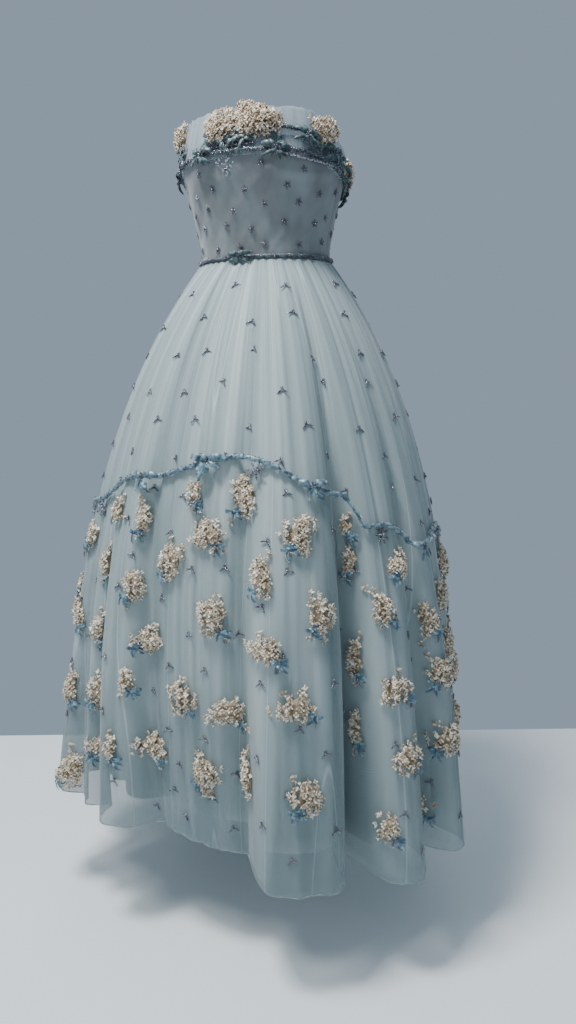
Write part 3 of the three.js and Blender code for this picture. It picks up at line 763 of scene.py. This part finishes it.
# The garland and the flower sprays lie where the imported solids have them
garland = [
    {"turn": -22, "drop": 0.378},
    {"turn": 20, "drop": 0.335},
    {"turn": 50, "drop": 0.396},
    {"turn": 56, "drop": 0.45},
    {"turn": 61, "drop": 0.448},
    {"turn": 77, "drop": 0.496},
    {"turn": 101, "drop": 0.482},
    {"turn": 122, "drop": 0.54},
    {"turn": 143, "drop": 0.512},
    {"turn": 164, "drop": 0.568},
    {"turn": 185, "drop": 0.54},
    {"turn": 206, "drop": 0.572},
    {"turn": 227, "drop": 0.528},
    {"turn": 248, "drop": 0.55},
    {"turn": 269, "drop": 0.492},
    {"turn": 290, "drop": 0.502},
    {"turn": 312, "drop": 0.432},
]
garlandBows = [-18, 7, 40, 76, 122, 164, 206, 248, 290]
cord = {"radius": 0.0042, "thin": 0.003, "span": 4, "bowGap": 0.005, "clear": 0.0008, "ring": 0.0025,
        "waistEnd": 175, "waistRise": 0.0058}
# Each spray is half as wide and half as tall as it says
frontSprays = [
    {"turn": 2, "drop": 0.4, "wide": 0.011, "tall": 0.027},
    {"turn": 20, "drop": 0.401, "wide": 0.027, "tall": 0.038},
    {"turn": -29, "drop": 0.44, "wide": 0.023, "tall": 0.02},
    {"turn": -18, "drop": 0.45, "wide": 0.013, "tall": 0.034},
    {"turn": 8, "drop": 0.464, "wide": 0.031, "tall": 0.028},
    {"turn": 36, "drop": 0.454, "wide": 0.025, "tall": 0.035},
    {"turn": 53, "drop": 0.452, "wide": 0.01, "tall": 0.021},
    {"turn": -5, "drop": 0.515, "wide": 0.025, "tall": 0.034},
    {"turn": 26, "drop": 0.521, "wide": 0.02, "tall": 0.034},
    {"turn": 53, "drop": 0.512, "wide": 0.012, "tall": 0.032},
    {"turn": 65, "drop": 0.517, "wide": 0.026, "tall": 0.026},
    {"turn": -48, "drop": 0.5, "wide": 0.016, "tall": 0.028},
    {"turn": -36, "drop": 0.545, "wide": 0.014, "tall": 0.036},
    {"turn": -19, "drop": 0.563, "wide": 0.021, "tall": 0.032},
    {"turn": 40, "drop": 0.578, "wide": 0.02, "tall": 0.036},
    {"turn": 58, "drop": 0.582, "wide": 0.02, "tall": 0.033},
    {"turn": 10, "drop": 0.598, "wide": 0.029, "tall": 0.037},
    {"turn": 76, "drop": 0.624, "wide": 0.02, "tall": 0.035},
    {"turn": -49, "drop": 0.655, "wide": 0.016, "tall": 0.032},
    {"turn": -36, "drop": 0.662, "wide": 0.018, "tall": 0.033},
    {"turn": -14, "drop": 0.657, "wide": 0.036, "tall": 0.022},
    {"turn": 27, "drop": 0.634, "wide": 0.031, "tall": 0.024},
    {"turn": 53, "drop": 0.67, "wide": 0.014, "tall": 0.04},
    {"turn": -20, "drop": 0.732, "wide": 0.013, "tall": 0.028},
    {"turn": -1, "drop": 0.749, "wide": 0.025, "tall": 0.033},
    {"turn": 34, "drop": 0.72, "wide": 0.036, "tall": 0.024},
    {"turn": 59, "drop": 0.714, "wide": 0.029, "tall": 0.025},
    {"turn": 78, "drop": 0.717, "wide": 0.022, "tall": 0.032},
    {"turn": -36, "drop": 0.78, "wide": 0.02, "tall": 0.036},
    {"turn": -49, "drop": 0.8, "wide": 0.018, "tall": 0.038},
    {"turn": 15, "drop": 0.76, "wide": 0.036, "tall": 0.026},
    {"turn": 53, "drop": 0.79, "wide": 0.014, "tall": 0.04},
    {"turn": 61, "drop": 0.828, "wide": 0.03, "tall": 0.026},
    {"turn": 78, "drop": 0.837, "wide": 0.027, "tall": 0.028},
    {"turn": -35, "drop": 0.888, "wide": 0.02, "tall": 0.03},
    {"turn": -24, "drop": 0.862, "wide": 0.014, "tall": 0.028},
    {"turn": -14, "drop": 0.856, "wide": 0.032, "tall": 0.03},
    {"turn": 7, "drop": 0.878, "wide": 0.027, "tall": 0.038},
    {"turn": 22, "drop": 0.86, "wide": 0.019, "tall": 0.04},
    {"turn": 36, "drop": 0.866, "wide": 0.029, "tall": 0.032},
    {"turn": 56, "drop": 0.94, "wide": 0.024, "tall": 0.026},
    {"turn": 73, "drop": 0.965, "wide": 0.02, "tall": 0.025},
]
sprayRows = [
    {"drop": 0.512, "turns": [-60]},
    {"drop": 0.566, "turns": [112]},
    {"drop": 0.606, "turns": [-60, 94, 130, 150, 171, 192, 231, 252, 287]},
    {"drop": 0.646, "turns": [209]},
    {"drop": 0.7, "turns": [-61, 96, 120, 141, 181, 202, 222, 242, 261]},
    {"drop": 0.738, "turns": [150]},
    {"drop": 0.785, "turns": [114, 130, 171, 191, 232, 252, 278, 292]},
    {"drop": 0.848, "turns": [-60, 92, 142, 183, 203, 223, 242]},
    {"drop": 0.884, "turns": [110, 153, 262, 283]},
    {"drop": 0.96, "turns": [-48, 86, 130, 168, 195, 232, 252, 292]},
]
spray = {"tall": 0.036, "wide": 0.026, "high": 0.009, "jitter": 0.005, "lean": 85, "leanSpread": 45,
         "frontSpread": 20, "seamRoom": 1.3, "spread": 0.9,
         "blossoms": 62, "curl": 9, "bend": 0.7, "ragged": 0.5}


def garlandDrop(turn):
    start = garland[0]["turn"]
    line = garland + [{"turn": start + 360, "drop": garland[0]["drop"]}]
    turned = start + (turn - start) % 360
    after = next(i for i, point in enumerate(line) if point["turn"] > turned)
    low, high = line[after - 1], line[after]
    return mix(low["drop"], high["drop"], ease(turned, low["turn"], high["turn"]))


def overCrests(turn, height):
    return max(overskirtRadius(turn + share * cord["span"], height) for share in (-1, -0.5, 0, 0.5, 1))


def clearOfSeams(turn, space):
    offsets = [fromFront(turn - seam["from"]) for seam in overskirtSeams]
    nearest = min(offsets, key=abs)
    return turn + math.copysign(space, nearest) - nearest if abs(nearest) < space else turn


# All the sprays. Those in rows vary a little in place and size.
def sprayPlaces():
    places = []
    for i, place in enumerate(frontSprays):
        places.append(dict(place, lean=90 + spray["frontSpread"] * scatter(i + 0.75)))
    inRows = [(turn, row["drop"]) for row in sprayRows for turn in row["turns"]]
    for i, (turn, drop) in enumerate(inRows):
        size = 1 + 0.15 * scatter(i + 0.25)
        lean = spray["lean"] + spray["leanSpread"] * scatter(i + 0.75)
        places.append({"turn": turn, "drop": drop + spray["jitter"] * scatter(i + 0.5),
                       "wide": spray["wide"] * size, "tall": spray["tall"] * size, "lean": lean})
    for i, place in enumerate(places):
        radius = overskirtRadius(place["turn"], -place["drop"])
        space = math.degrees(spray["seamRoom"] * place["wide"] / radius)
        place.update(turn=clearOfSeams(place["turn"], space), height=-place["drop"], seed=i,
                     long=place["tall"] * spray["spread"], wide=place["wide"] * spray["spread"])
    return places


def panelOf(turn):
    for seam in overskirtSeams:
        if seam["from"] <= fromFront(turn - seam["from"]) + seam["from"] < seam["to"]:
            return seam["name"]
    return "front"


# A heap of the long and wide half size here has all its blossoms, and a smaller one has fewer
heap = {"long": 0.0324, "wide": 0.0234, "fewest": 16, "lowUnder": 0.022, "mound": 0.7, "moundHigh": 0.5,
        "moundOut": 0.0005, "out": 0.0015, "outSpread": 0.0025, "budSize": 0.62,
        "tipOut": 16, "tipSpread": 0.8}
goldenAngle = 2.39996


# The mound under a heap of blossoms, bent like the heap
def addMound(mounds, mound, place, radiusAt, high, bend):
    copy = mound.copy()
    for vert in copy.vertices:
        vert.co.y += bend * (vert.co.x ** 2 - 0.4)
    sized = (place["long"] * heap["mound"], place["wide"] * heap["mound"], high * heap["moundHigh"], 1)
    copy.transform(Matrix.Rotation(math.radians(place["lean"]), 4, "Z") @ Matrix.Diagonal(sized))
    addBent(mounds, copy, radiusAt, place["turn"], place["height"], heap["moundOut"])
    bpy.data.meshes.remove(copy)


# Where a blossom lies in its heap, in shares of the half sizes, and how large it is
def heapSpot(i, share, seed, bend, ragged):
    angle = i * goldenAngle + seed
    edge = 1 + ragged * noise.noise(Vector((math.cos(angle) * 1.3, math.sin(angle) * 1.3, seed * 3.7)))
    x = share * math.cos(angle) * edge
    y = share * math.sin(angle) * edge + bend * (x * x - 0.4)
    return x, y, 0.9 + 0.5 * abs(scatter(i * 1.7 + seed))


# The same for a bud of the curl at the heap's tip
def curlSpot(t, seed, bend):
    x = (0.85 + 0.5 * t) * (1 if scatter(seed + 6.1) > -0.3 else -1)
    y = (1 if seed % 2 else -1) * (0.1 + 0.8 * math.sin(t * 2.4)) + bend * 0.5
    return x, y, heap["budSize"]


# One spray: blossoms over a low mound, bent and ragged at its edge, with a thin curl of buds at its tip
def addSpray(flowers, mounds, place, look, radiusAt, mesh, mound):
    seed = place["seed"]
    lean = math.radians(place["lean"])
    step = degreesPerMetre(radiusAt, place["turn"], place["height"])
    high = look["high"] * min(1, math.sqrt(place["wide"] / heap["lowUnder"]))
    bend = look["bend"] * scatter(seed + 0.4)
    fitting = look["blossoms"] * place["long"] * place["wide"] / (heap["long"] * heap["wide"])
    count = max(heap["fewest"], round(fitting))
    addMound(mounds, mound, place, radiusAt, high, bend)
    for i in range(count + look["curl"]):
        share = math.sqrt((i + 0.5) / count)
        if i < count:
            x, y, size = heapSpot(i, share, seed, bend, look["ragged"])
        else:
            x, y, size = curlSpot((i - count + 1) / look["curl"], seed, bend)
        out = high * (1 - min(share, 1) ** 2) + heap["out"] + heap["outSpread"] * abs(scatter(i + 7.7))
        x, y = place["long"] * x, place["wide"] * y
        level = x * math.cos(lean) - y * math.sin(lean)
        up = x * math.sin(lean) + y * math.cos(lean)
        point, along, rise, normal = surfaceFrame(
            radiusAt, place["turn"] + level * step, place["height"] + up, out)
        tipAside = level * heap["tipOut"] + heap["tipSpread"] * scatter(i + 1.3 + seed)
        tipUp = up * heap["tipOut"] + heap["tipSpread"] * scatter(i + 4.9 + seed)
        tilt = (normal + along * tipAside + rise * tipUp).normalized()
        across = along.cross(tilt).normalized()
        addCopy(flowers, mesh, frameMatrix(point, across.cross(tilt) * -1, across, tilt, size))


def makeSprays():
    places = sprayPlaces()
    mesh = blossomMesh()
    mound = moundMesh()
    smallBow = bowMesh("smallBow", bows["small"], (1,), 6)
    for seam in overskirtSeams:
        mine = [place for place in places if panelOf(place["turn"]) == seam["name"]]
        flowers = bmesh.new()
        mounds = bmesh.new()
        ribbons = bmesh.new()
        for place in mine:
            addSpray(flowers, mounds, place, spray, overskirtRadius, mesh, mound)
            side = 1 if scatter(place["seed"] + 9.1) > -0.2 else -1
            aside = side * place["wide"] * 0.75
            turn = place["turn"] + aside * degreesPerMetre(overskirtRadius, place["turn"], place["height"])
            low = place["height"] - place["long"] * 0.7
            lean = 30 * scatter(place["seed"] + 2.2)
            addBent(ribbons, smallBow, overskirtRadius, turn, low, 0.006, lean=lean)
        name = seam["name"]
        linkPiece(f"sprays_{name}", finishMesh(flowers, "sprays"), materials["flower"])
        linkPiece(f"sprayMounds_{name}", finishMesh(mounds, "sprayMounds"), materials["stemAndShade"])
        linkPiece(f"sprayBows_{name}", finishMesh(ribbons, "sprayBows", False), materials["deep"])


makeSprays()
print("stage: flower sprays")


# Cords, bows, clusters and beads

# A closed tube along frames, its rings ridged like a twisted ribbon
def addTube(bm, frames, radius, around=8, ridge=0.0, twist=0.0):
    last = len(frames) - 1
    verts = bmesh.ops.create_grid(bm, x_segments=last, y_segments=around, size=1)["verts"]
    for vert in verts:
        i = round((vert.co.x + 1) / 2 * last)
        angle = (vert.co.y + 1) * math.pi
        point, up, normal = frames[i]
        reach = 0 if i in (0, last) else radius * (1 + ridge * math.cos(2 * angle + twist * i))
        vert.co = point + up * (math.cos(angle) * reach) + normal * (math.sin(angle) * reach)
    bmesh.ops.remove_doubles(bm, verts=verts, dist=0.00001)


def lineFrames(radiusAt, turns, heightAt, out, spacing):
    middle = sum(turns) / 2
    length = math.radians(turns[1] - turns[0]) * radiusAt(middle, heightAt(middle))
    count = max(6, round(length / spacing))
    frames = []
    for i in range(count + 1):
        turn = mix(*turns, i / count)
        point, along, up, normal = surfaceFrame(radiusAt, turn, heightAt(turn), out)
        frames.append((point, up, normal))
    return frames


# The overskirt's edge is rolled to the inside and sewn
rolledHem = {"radius": 0.0009, "spacing": 0.007}


def makeRolledHem():
    for seam in overskirtSeams:
        turns = (seam["from"] + 0.1, seam["to"] - 0.1)
        frames = lineFrames(overskirtRadius, turns, lambda turn: rolledHem["radius"] - hemDrop(turn),
                            -rolledHem["radius"], rolledHem["spacing"])
        bm = bmesh.new()
        addTube(bm, frames, rolledHem["radius"], 6)
        linkPiece(f"rolledHem_{seam['name']}", finishMesh(bm, "rolledHem"), materials["lining"])


# Beads wound round a cord
def addBeads(bm, frames, radius, mesh, every=2):
    for i in range(1, len(frames) - 1, every):
        point, up, normal = frames[i]
        for strand in range(3):
            angle = i * 0.75 + strand * 2.1
            outside = normal * math.sin(angle) + up * math.cos(angle)
            if outside.dot(normal) > -0.4:
                addCopy(bm, mesh, Matrix.Translation(point + outside * radius))


def overBodice(turn, rise):
    return plainBodiceRadius(turn, rise) + band["gap"]


def cordPiece(name, frames, beads, mesh, node, material="ribbon", every=2, radius=cord["radius"]):
    bm = bmesh.new()
    addTube(bm, frames, radius, 10, 0.14, 0.9)
    linkPiece(name, finishMesh(bm, name), materials[material], [node])
    addBeads(beads, frames, radius, mesh, every)


bowBeads = {"count": 16, "reach": 0.008, "out": 0.0062, "fall": 0.25}  # dark beads round the knot


def bowPiece(name, leaves, beads, mesh, node, radiusAt, turn, height, out, material="ribbon", lean=0.0):
    bm = bmesh.new()
    addBent(bm, bowMesh(name, leaves), radiusAt, turn, height, out, lean=lean)
    linkPiece(name, finishMesh(bm, name), materials[material], [node])
    for i in range(bowBeads["count"]):
        share = math.sqrt(i / bowBeads["count"]) * bowBeads["reach"]
        aside, up = share * math.cos(i * 2.4), share * math.sin(i * 2.4)
        beside = turn + math.degrees(aside / radiusAt(turn, height))
        off = out + bowBeads["out"] - bowBeads["fall"] * share
        point = surfaceFrame(radiusAt, beside, height + up, off)[0]
        addCopy(beads, mesh, Matrix.Translation(point))


bustBows = [
    {"turn": -72, "over": 0},
    {"turn": -20, "over": 0},
    {"turn": 34, "over": 0},
    {"turn": 55, "over": 0.026},
    {"turn": 75, "over": 0.017},
    {"turn": 95, "over": 0.009},
    {"turn": 113, "over": 0},
    {"turn": 146, "over": 0},
    {"turn": 214, "over": 0},
    {"turn": 250, "over": 0},
]
waistBow = {"turn": 0, "rise": 0.014}


def makeCords():
    beads = bmesh.new()
    mesh = beadMesh(0.0015)
    thin, out = cord["thin"], cord["thin"] + cord["clear"]
    ends = (-cord["waistEnd"], cord["waistEnd"])
    waistFrames = lineFrames(plainBodiceRadius, ends, lambda turn: cord["waistRise"], out, cord["ring"])
    cordPiece("waistCord", waistFrames, beads, mesh, "waist_cord", "teal", 1, thin)
    ends = (band["opening"] - 180, 180 - band["opening"])
    bustFrames = lineFrames(overBodice, ends, bustRise, out, cord["ring"])
    cordPiece("bustCord", bustFrames, beads, mesh, "bust_cord", "teal", 1, thin)
    makeGarland(beads, mesh)
    for i, place in enumerate(bustBows):
        rise = bustRise(place["turn"]) + place["over"]
        bowPiece(f"bustBow{i + 1}", bows["bust"], beads, mesh, f"bust_bow_{i + 1}",
                 overBodice, place["turn"], rise, 0.007, "teal", 14 * scatter(i + 0.3))
    bowPiece("waistBow", bows["waist"], beads, mesh, "waist_bow",
             plainBodiceRadius, waistBow["turn"], waistBow["rise"] - 0.006, 0.009, "teal")
    linkPiece("cordBeads", finishMesh(beads, "cordBeads"), materials["bead"])


# A length of beaded ribbon from each bow to the next
def makeGarland(beads, mesh):
    def heightAt(turn):
        return -garlandDrop(turn)
    for i, start in enumerate(garlandBows):
        stop = garlandBows[i + 1] if i + 1 < len(garlandBows) else garlandBows[0] + 360
        trim = math.degrees(cord["bowGap"] / overCrests(start, heightAt(start)))
        frames = lineFrames(overCrests, (start + trim, stop - trim), heightAt, cord["radius"], 0.0028)
        cordPiece(f"garland{i + 1}", frames, beads, mesh, f"garland_{i + 1}")
        leaves = bows["double" if i == 1 else "garland"]
        bowPiece(f"garlandBow{i + 1}", leaves, beads, mesh, f"garland_bow_{i + 1}",
                 overCrests, start, heightAt(start), 0.009)


clusters = [
    {"turn": -58, "rise": 0.222, "wide": 0.017, "tall": 0.026},
    {"turn": -6, "rise": 0.213, "wide": 0.038, "tall": 0.026},
    {"turn": 21, "rise": 0.221, "wide": 0.04, "tall": 0.03},
    {"turn": 70, "rise": 0.208, "wide": 0.025, "tall": 0.023},
    {"turn": 112, "rise": 0.16, "wide": 0.022, "tall": 0.028},
    {"turn": 152, "rise": 0.146, "wide": 0.026, "tall": 0.02},
    {"turn": 206, "rise": 0.146, "wide": 0.026, "tall": 0.02},
    {"turn": 248, "rise": 0.16, "wide": 0.024, "tall": 0.027},
]
# What lies on the band and the bust: a beaded line over each gap, a silver swag and a drop of crystals
bustLines = [
    {"name": "upperLine", "turns": (36, 62), "rise": (0.21, 0.204), "sag": 0.002, "radius": 0.0032,
     "material": "teal"},
    {"name": "frontLine", "turns": (-16, 20), "rise": (0.182, 0.182), "sag": 0.002, "radius": 0.0015,
     "material": "silver"},
    {"name": "silverSwag", "turns": (38, 84), "rise": (0.166, 0.158), "sag": 0.004, "radius": 0.0026,
     "material": "silver"},
]
# Each has its turn and its rise
extraBows = [(6, 0.194), (-2, 0.189), (12, 0.19), (30, 0.204), (-12, 0.196), (66, 0.186),
             (84, 0.17), (103, 0.148), (-56, 0.197), (-50, 0.186), (122, 0.13), (118, 0.146)]
crystals = {"turn": -1, "turns": 11, "rise": 0.163, "drop": 0.03, "count": 34}


def makeBustTrim():
    beads = bmesh.new()
    mesh = beadMesh(0.0014)
    for line in bustLines:
        def riseAt(turn):
            t = (turn - line["turns"][0]) / (line["turns"][1] - line["turns"][0])
            return mix(*line["rise"], t) - line["sag"] * math.sin(math.pi * t)
        frames = lineFrames(overBodice, line["turns"], riseAt, line["radius"] + 0.0006, 0.0022)
        bm = bmesh.new()
        addTube(bm, frames, line["radius"], 8, 0.2, 0.9)
        linkPiece(line["name"], finishMesh(bm, line["name"]), materials[line["material"]])
        addBeads(beads, frames, line["radius"], mesh, 1)
    linkPiece("bustBeads", finishMesh(beads, "bustBeads"), materials["bead"])
    leaves = bmesh.new()
    leaf = bowMesh("leaves", bows["bust"], (1,), 6)
    for i, (turn, rise) in enumerate(extraBows):
        addBent(leaves, leaf, overBodice, turn, rise, 0.002, lean=40 * scatter(i + 0.6))
    linkPiece("bandLeaves", finishMesh(leaves, "bandLeaves"), materials["teal"])
    drop = bmesh.new()
    for i in range(crystals["count"]):
        t = ((i + 0.5) / crystals["count"]) ** 1.6
        gem = beadMesh(0.0011 + 0.001 * abs(scatter(i + 0.2)))
        turn = crystals["turn"] + crystals["turns"] * (1 - t) * scatter(i + 0.9)
        point = surfaceFrame(overBodice, turn, crystals["rise"] - crystals["drop"] * t, 0.002)[0]
        addCopy(drop, gem, Matrix.Translation(point))
    linkPiece("crystalDrop", finishMesh(drop, "crystalDrop", False), materials["crystal"])


clusterLook = {"blossoms": 84, "curl": 3, "high": 0.014, "bend": 0.2, "ragged": 0.4}


def makeClusters():
    mesh = blossomMesh()
    mound = moundMesh()
    flowers = bmesh.new()
    mounds = bmesh.new()
    for i, cluster in enumerate(clusters):
        place = {"turn": cluster["turn"], "height": cluster["rise"], "long": cluster["wide"],
                 "wide": cluster["tall"], "lean": 0, "seed": i + 100}
        addSpray(flowers, mounds, place, clusterLook, overBodice, mesh, mound)
    linkPiece("clusters", finishMesh(flowers, "clusters"), materials["bustFlower"])
    linkPiece("clusterMounds", finishMesh(mounds, "clusterMounds"), materials["stemAndShade"])


# A motif of dark beads: two legs spread wide under a silver bead
motif = {"leg": 0.005, "bead": 0.0015, "spread": 0.0078, "out": 0.0006, "lean": 25}


def motifMesh():
    bm = bmesh.new()
    for side in (1, -1):
        for step, size in ((0.22, 1.15), (0.6, 1.25), (1.0, 0.9)):
            made = bmesh.ops.create_icosphere(bm, subdivisions=1, radius=motif["bead"] * size)["verts"]
            bmesh.ops.scale(bm, vec=(1.5, 1, 1), verts=made)
            turned = Matrix.Rotation(-side * 0.6, 3, "Z")
            bmesh.ops.rotate(bm, cent=(0, 0, 0), matrix=turned, verts=made)
            place = (side * motif["spread"] * step, -motif["leg"] * step ** 1.2, motif["bead"])
            bmesh.ops.translate(bm, vec=place, verts=made)
    for aside, up in ((0, 0.0018), (0.0016, 0.0044), (-0.0014, 0.0042)):
        made = bmesh.ops.create_icosphere(bm, subdivisions=1, radius=motif["bead"])["verts"]
        bmesh.ops.translate(bm, vec=(aside, up, motif["bead"]), verts=made)
    return finishMesh(bm, "motif")


# A star of dark beads, which sits on the bodice and, larger, under the garland's peaks
def starMesh(arms, reach, beadSize):
    bm = bmesh.new()
    steps = (0.4, 0.75, 1.0) if arms > 5 else (0.5, 1.0)
    for arm in range(arms):
        for step in steps:
            size = beadSize * (1.2 - 0.35 * step)
            made = bmesh.ops.create_icosphere(bm, subdivisions=1, radius=size)["verts"]
            angle = 2 * math.pi * (arm + 0.25 + 0.12 * step) / arms
            place = (reach * step * math.cos(angle), reach * step * math.sin(angle), beadSize * 0.8)
            bmesh.ops.translate(bm, vec=place, verts=made)
    middle = bmesh.ops.create_icosphere(bm, subdivisions=1, radius=beadSize * 1.4)["verts"]
    bmesh.ops.translate(bm, vec=(0, 0, beadSize * 1.4), verts=middle)
    return finishMesh(bm, "star")


# Each has its turn and how far it hangs under the garland
rosettes = [(24, 0.018), (60.5, 0.016), (105, 0.016), (147, 0.016), (189, 0.016), (231, 0.016),
            (273, 0.016), (316, 0.016)]


def makeRosettes():
    petals = starMesh(7, 0.014, 0.0021)
    centre = starMesh(5, 0.006, 0.0016)
    dark = bmesh.new()
    bright = bmesh.new()
    for turn, under in rosettes:
        point, along, up, normal = surfaceFrame(overCrests, turn, -garlandDrop(turn) - under, 0.001)
        addCopy(dark, petals, frameMatrix(point, along, up, normal))
        addCopy(bright, centre, frameMatrix(point + normal * 0.002, along, up, normal))
    linkPiece("rosetteBeads", finishMesh(dark, "rosetteBeads"), materials["bead"])
    linkPiece("rosetteCentres", finishMesh(bright, "rosetteCentres"), materials["silver"])


skirtRows = {"count": 17, "first": 0.05, "apart": 0.058, "spacing": 0.088, "aside": 0.18, "upDown": 0.011}
bodiceRows = {"count": 5, "around": 13, "low": 0.028, "under": 0.024, "aside": 4, "upDown": 0.007}


def addMotif(bm, mesh, radiusAt, turn, height, number):
    point, along, up, normal = surfaceFrame(radiusAt, turn, height, motif["out"])
    lean = math.radians(motif["lean"] * scatter(number + 0.7))
    addCopy(bm, mesh, frameMatrix(point, along, up, normal) @ Matrix.Rotation(lean, 4, "Z"))


def makeMotifs():
    mesh = motifMesh()
    spots = bmesh.new()
    count = 0
    for row in range(skirtRows["count"]):
        drop = skirtRows["first"] + skirtRows["apart"] * row
        around = overskirtRadius(0, -drop) * 2 * math.pi
        number = max(8, round(around / skirtRows["spacing"]))
        for i in range(number):
            count += 1
            turn = 360 / number * (i + 0.5 * (row % 2) + skirtRows["aside"] * scatter(count))
            height = -drop + skirtRows["upDown"] * scatter(count + 0.5)
            addMotif(spots, mesh, overskirtRadius, turn, height, count)
    linkPiece("skirtMotifs", finishMesh(spots, "skirtMotifs"), materials["bead"])
    stars = bmesh.new()
    star = starMesh(5, 0.0058, 0.0014)
    for row in range(bodiceRows["count"]):
        for i in range(bodiceRows["around"]):
            count += 1
            turn = 360 / bodiceRows["around"] * (i + 0.5 * (row % 2)) + bodiceRows["aside"] * scatter(count)
            highest = bustRise(turn) - bodiceRows["under"]
            rise = mix(bodiceRows["low"], highest, row / (bodiceRows["count"] - 1))
            rise += bodiceRows["upDown"] * scatter(count + 0.5)
            addMotif(stars, star, bodiceRadius, turn, rise, count)
    linkPiece("bodiceMotifs", finishMesh(stars, "bodiceMotifs"), materials["bead"])


makeCords()
makeBustTrim()
makeClusters()
makeMotifs()
makeRosettes()
makeRolledHem()
print("stage: cords, bows, clusters and beads")


# A plain floor behind and under the gown, as the camera sees it
floorStops = [(0.3, (236, 243, 245)), (0.7, (246, 251, 252))]


def makeFloor():
    bm = bmesh.new()
    bmesh.ops.create_grid(bm, x_segments=1, y_segments=1, size=room["reach"])
    forward = -outwards(view["turn"])
    aside = Vector((forward.y, -forward.x, 0))
    for vert in bm.verts:
        away = vert.co.y - room["reach"] + room["behind"]
        vert.co = aside * vert.co.x + forward * away + Vector((0, 0, room["floor"]))
    bmesh.ops.recalc_face_normals(bm, faces=bm.faces)
    floor = bpy.data.objects.new("floor", finishMesh(bm, "floor", False))
    bpy.context.scene.collection.objects.link(floor)
    floor.data.materials.append(makeSpeckled("paleFloor", floorStops, 2, 0.55, 0.02))


makeFloor()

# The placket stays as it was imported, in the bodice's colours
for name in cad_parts:
    node = bpy.data.objects[name]
    if not node.hide_render:
        node.data.materials.clear()
        node.data.materials.append(materials["placket"])

print("stage: done")
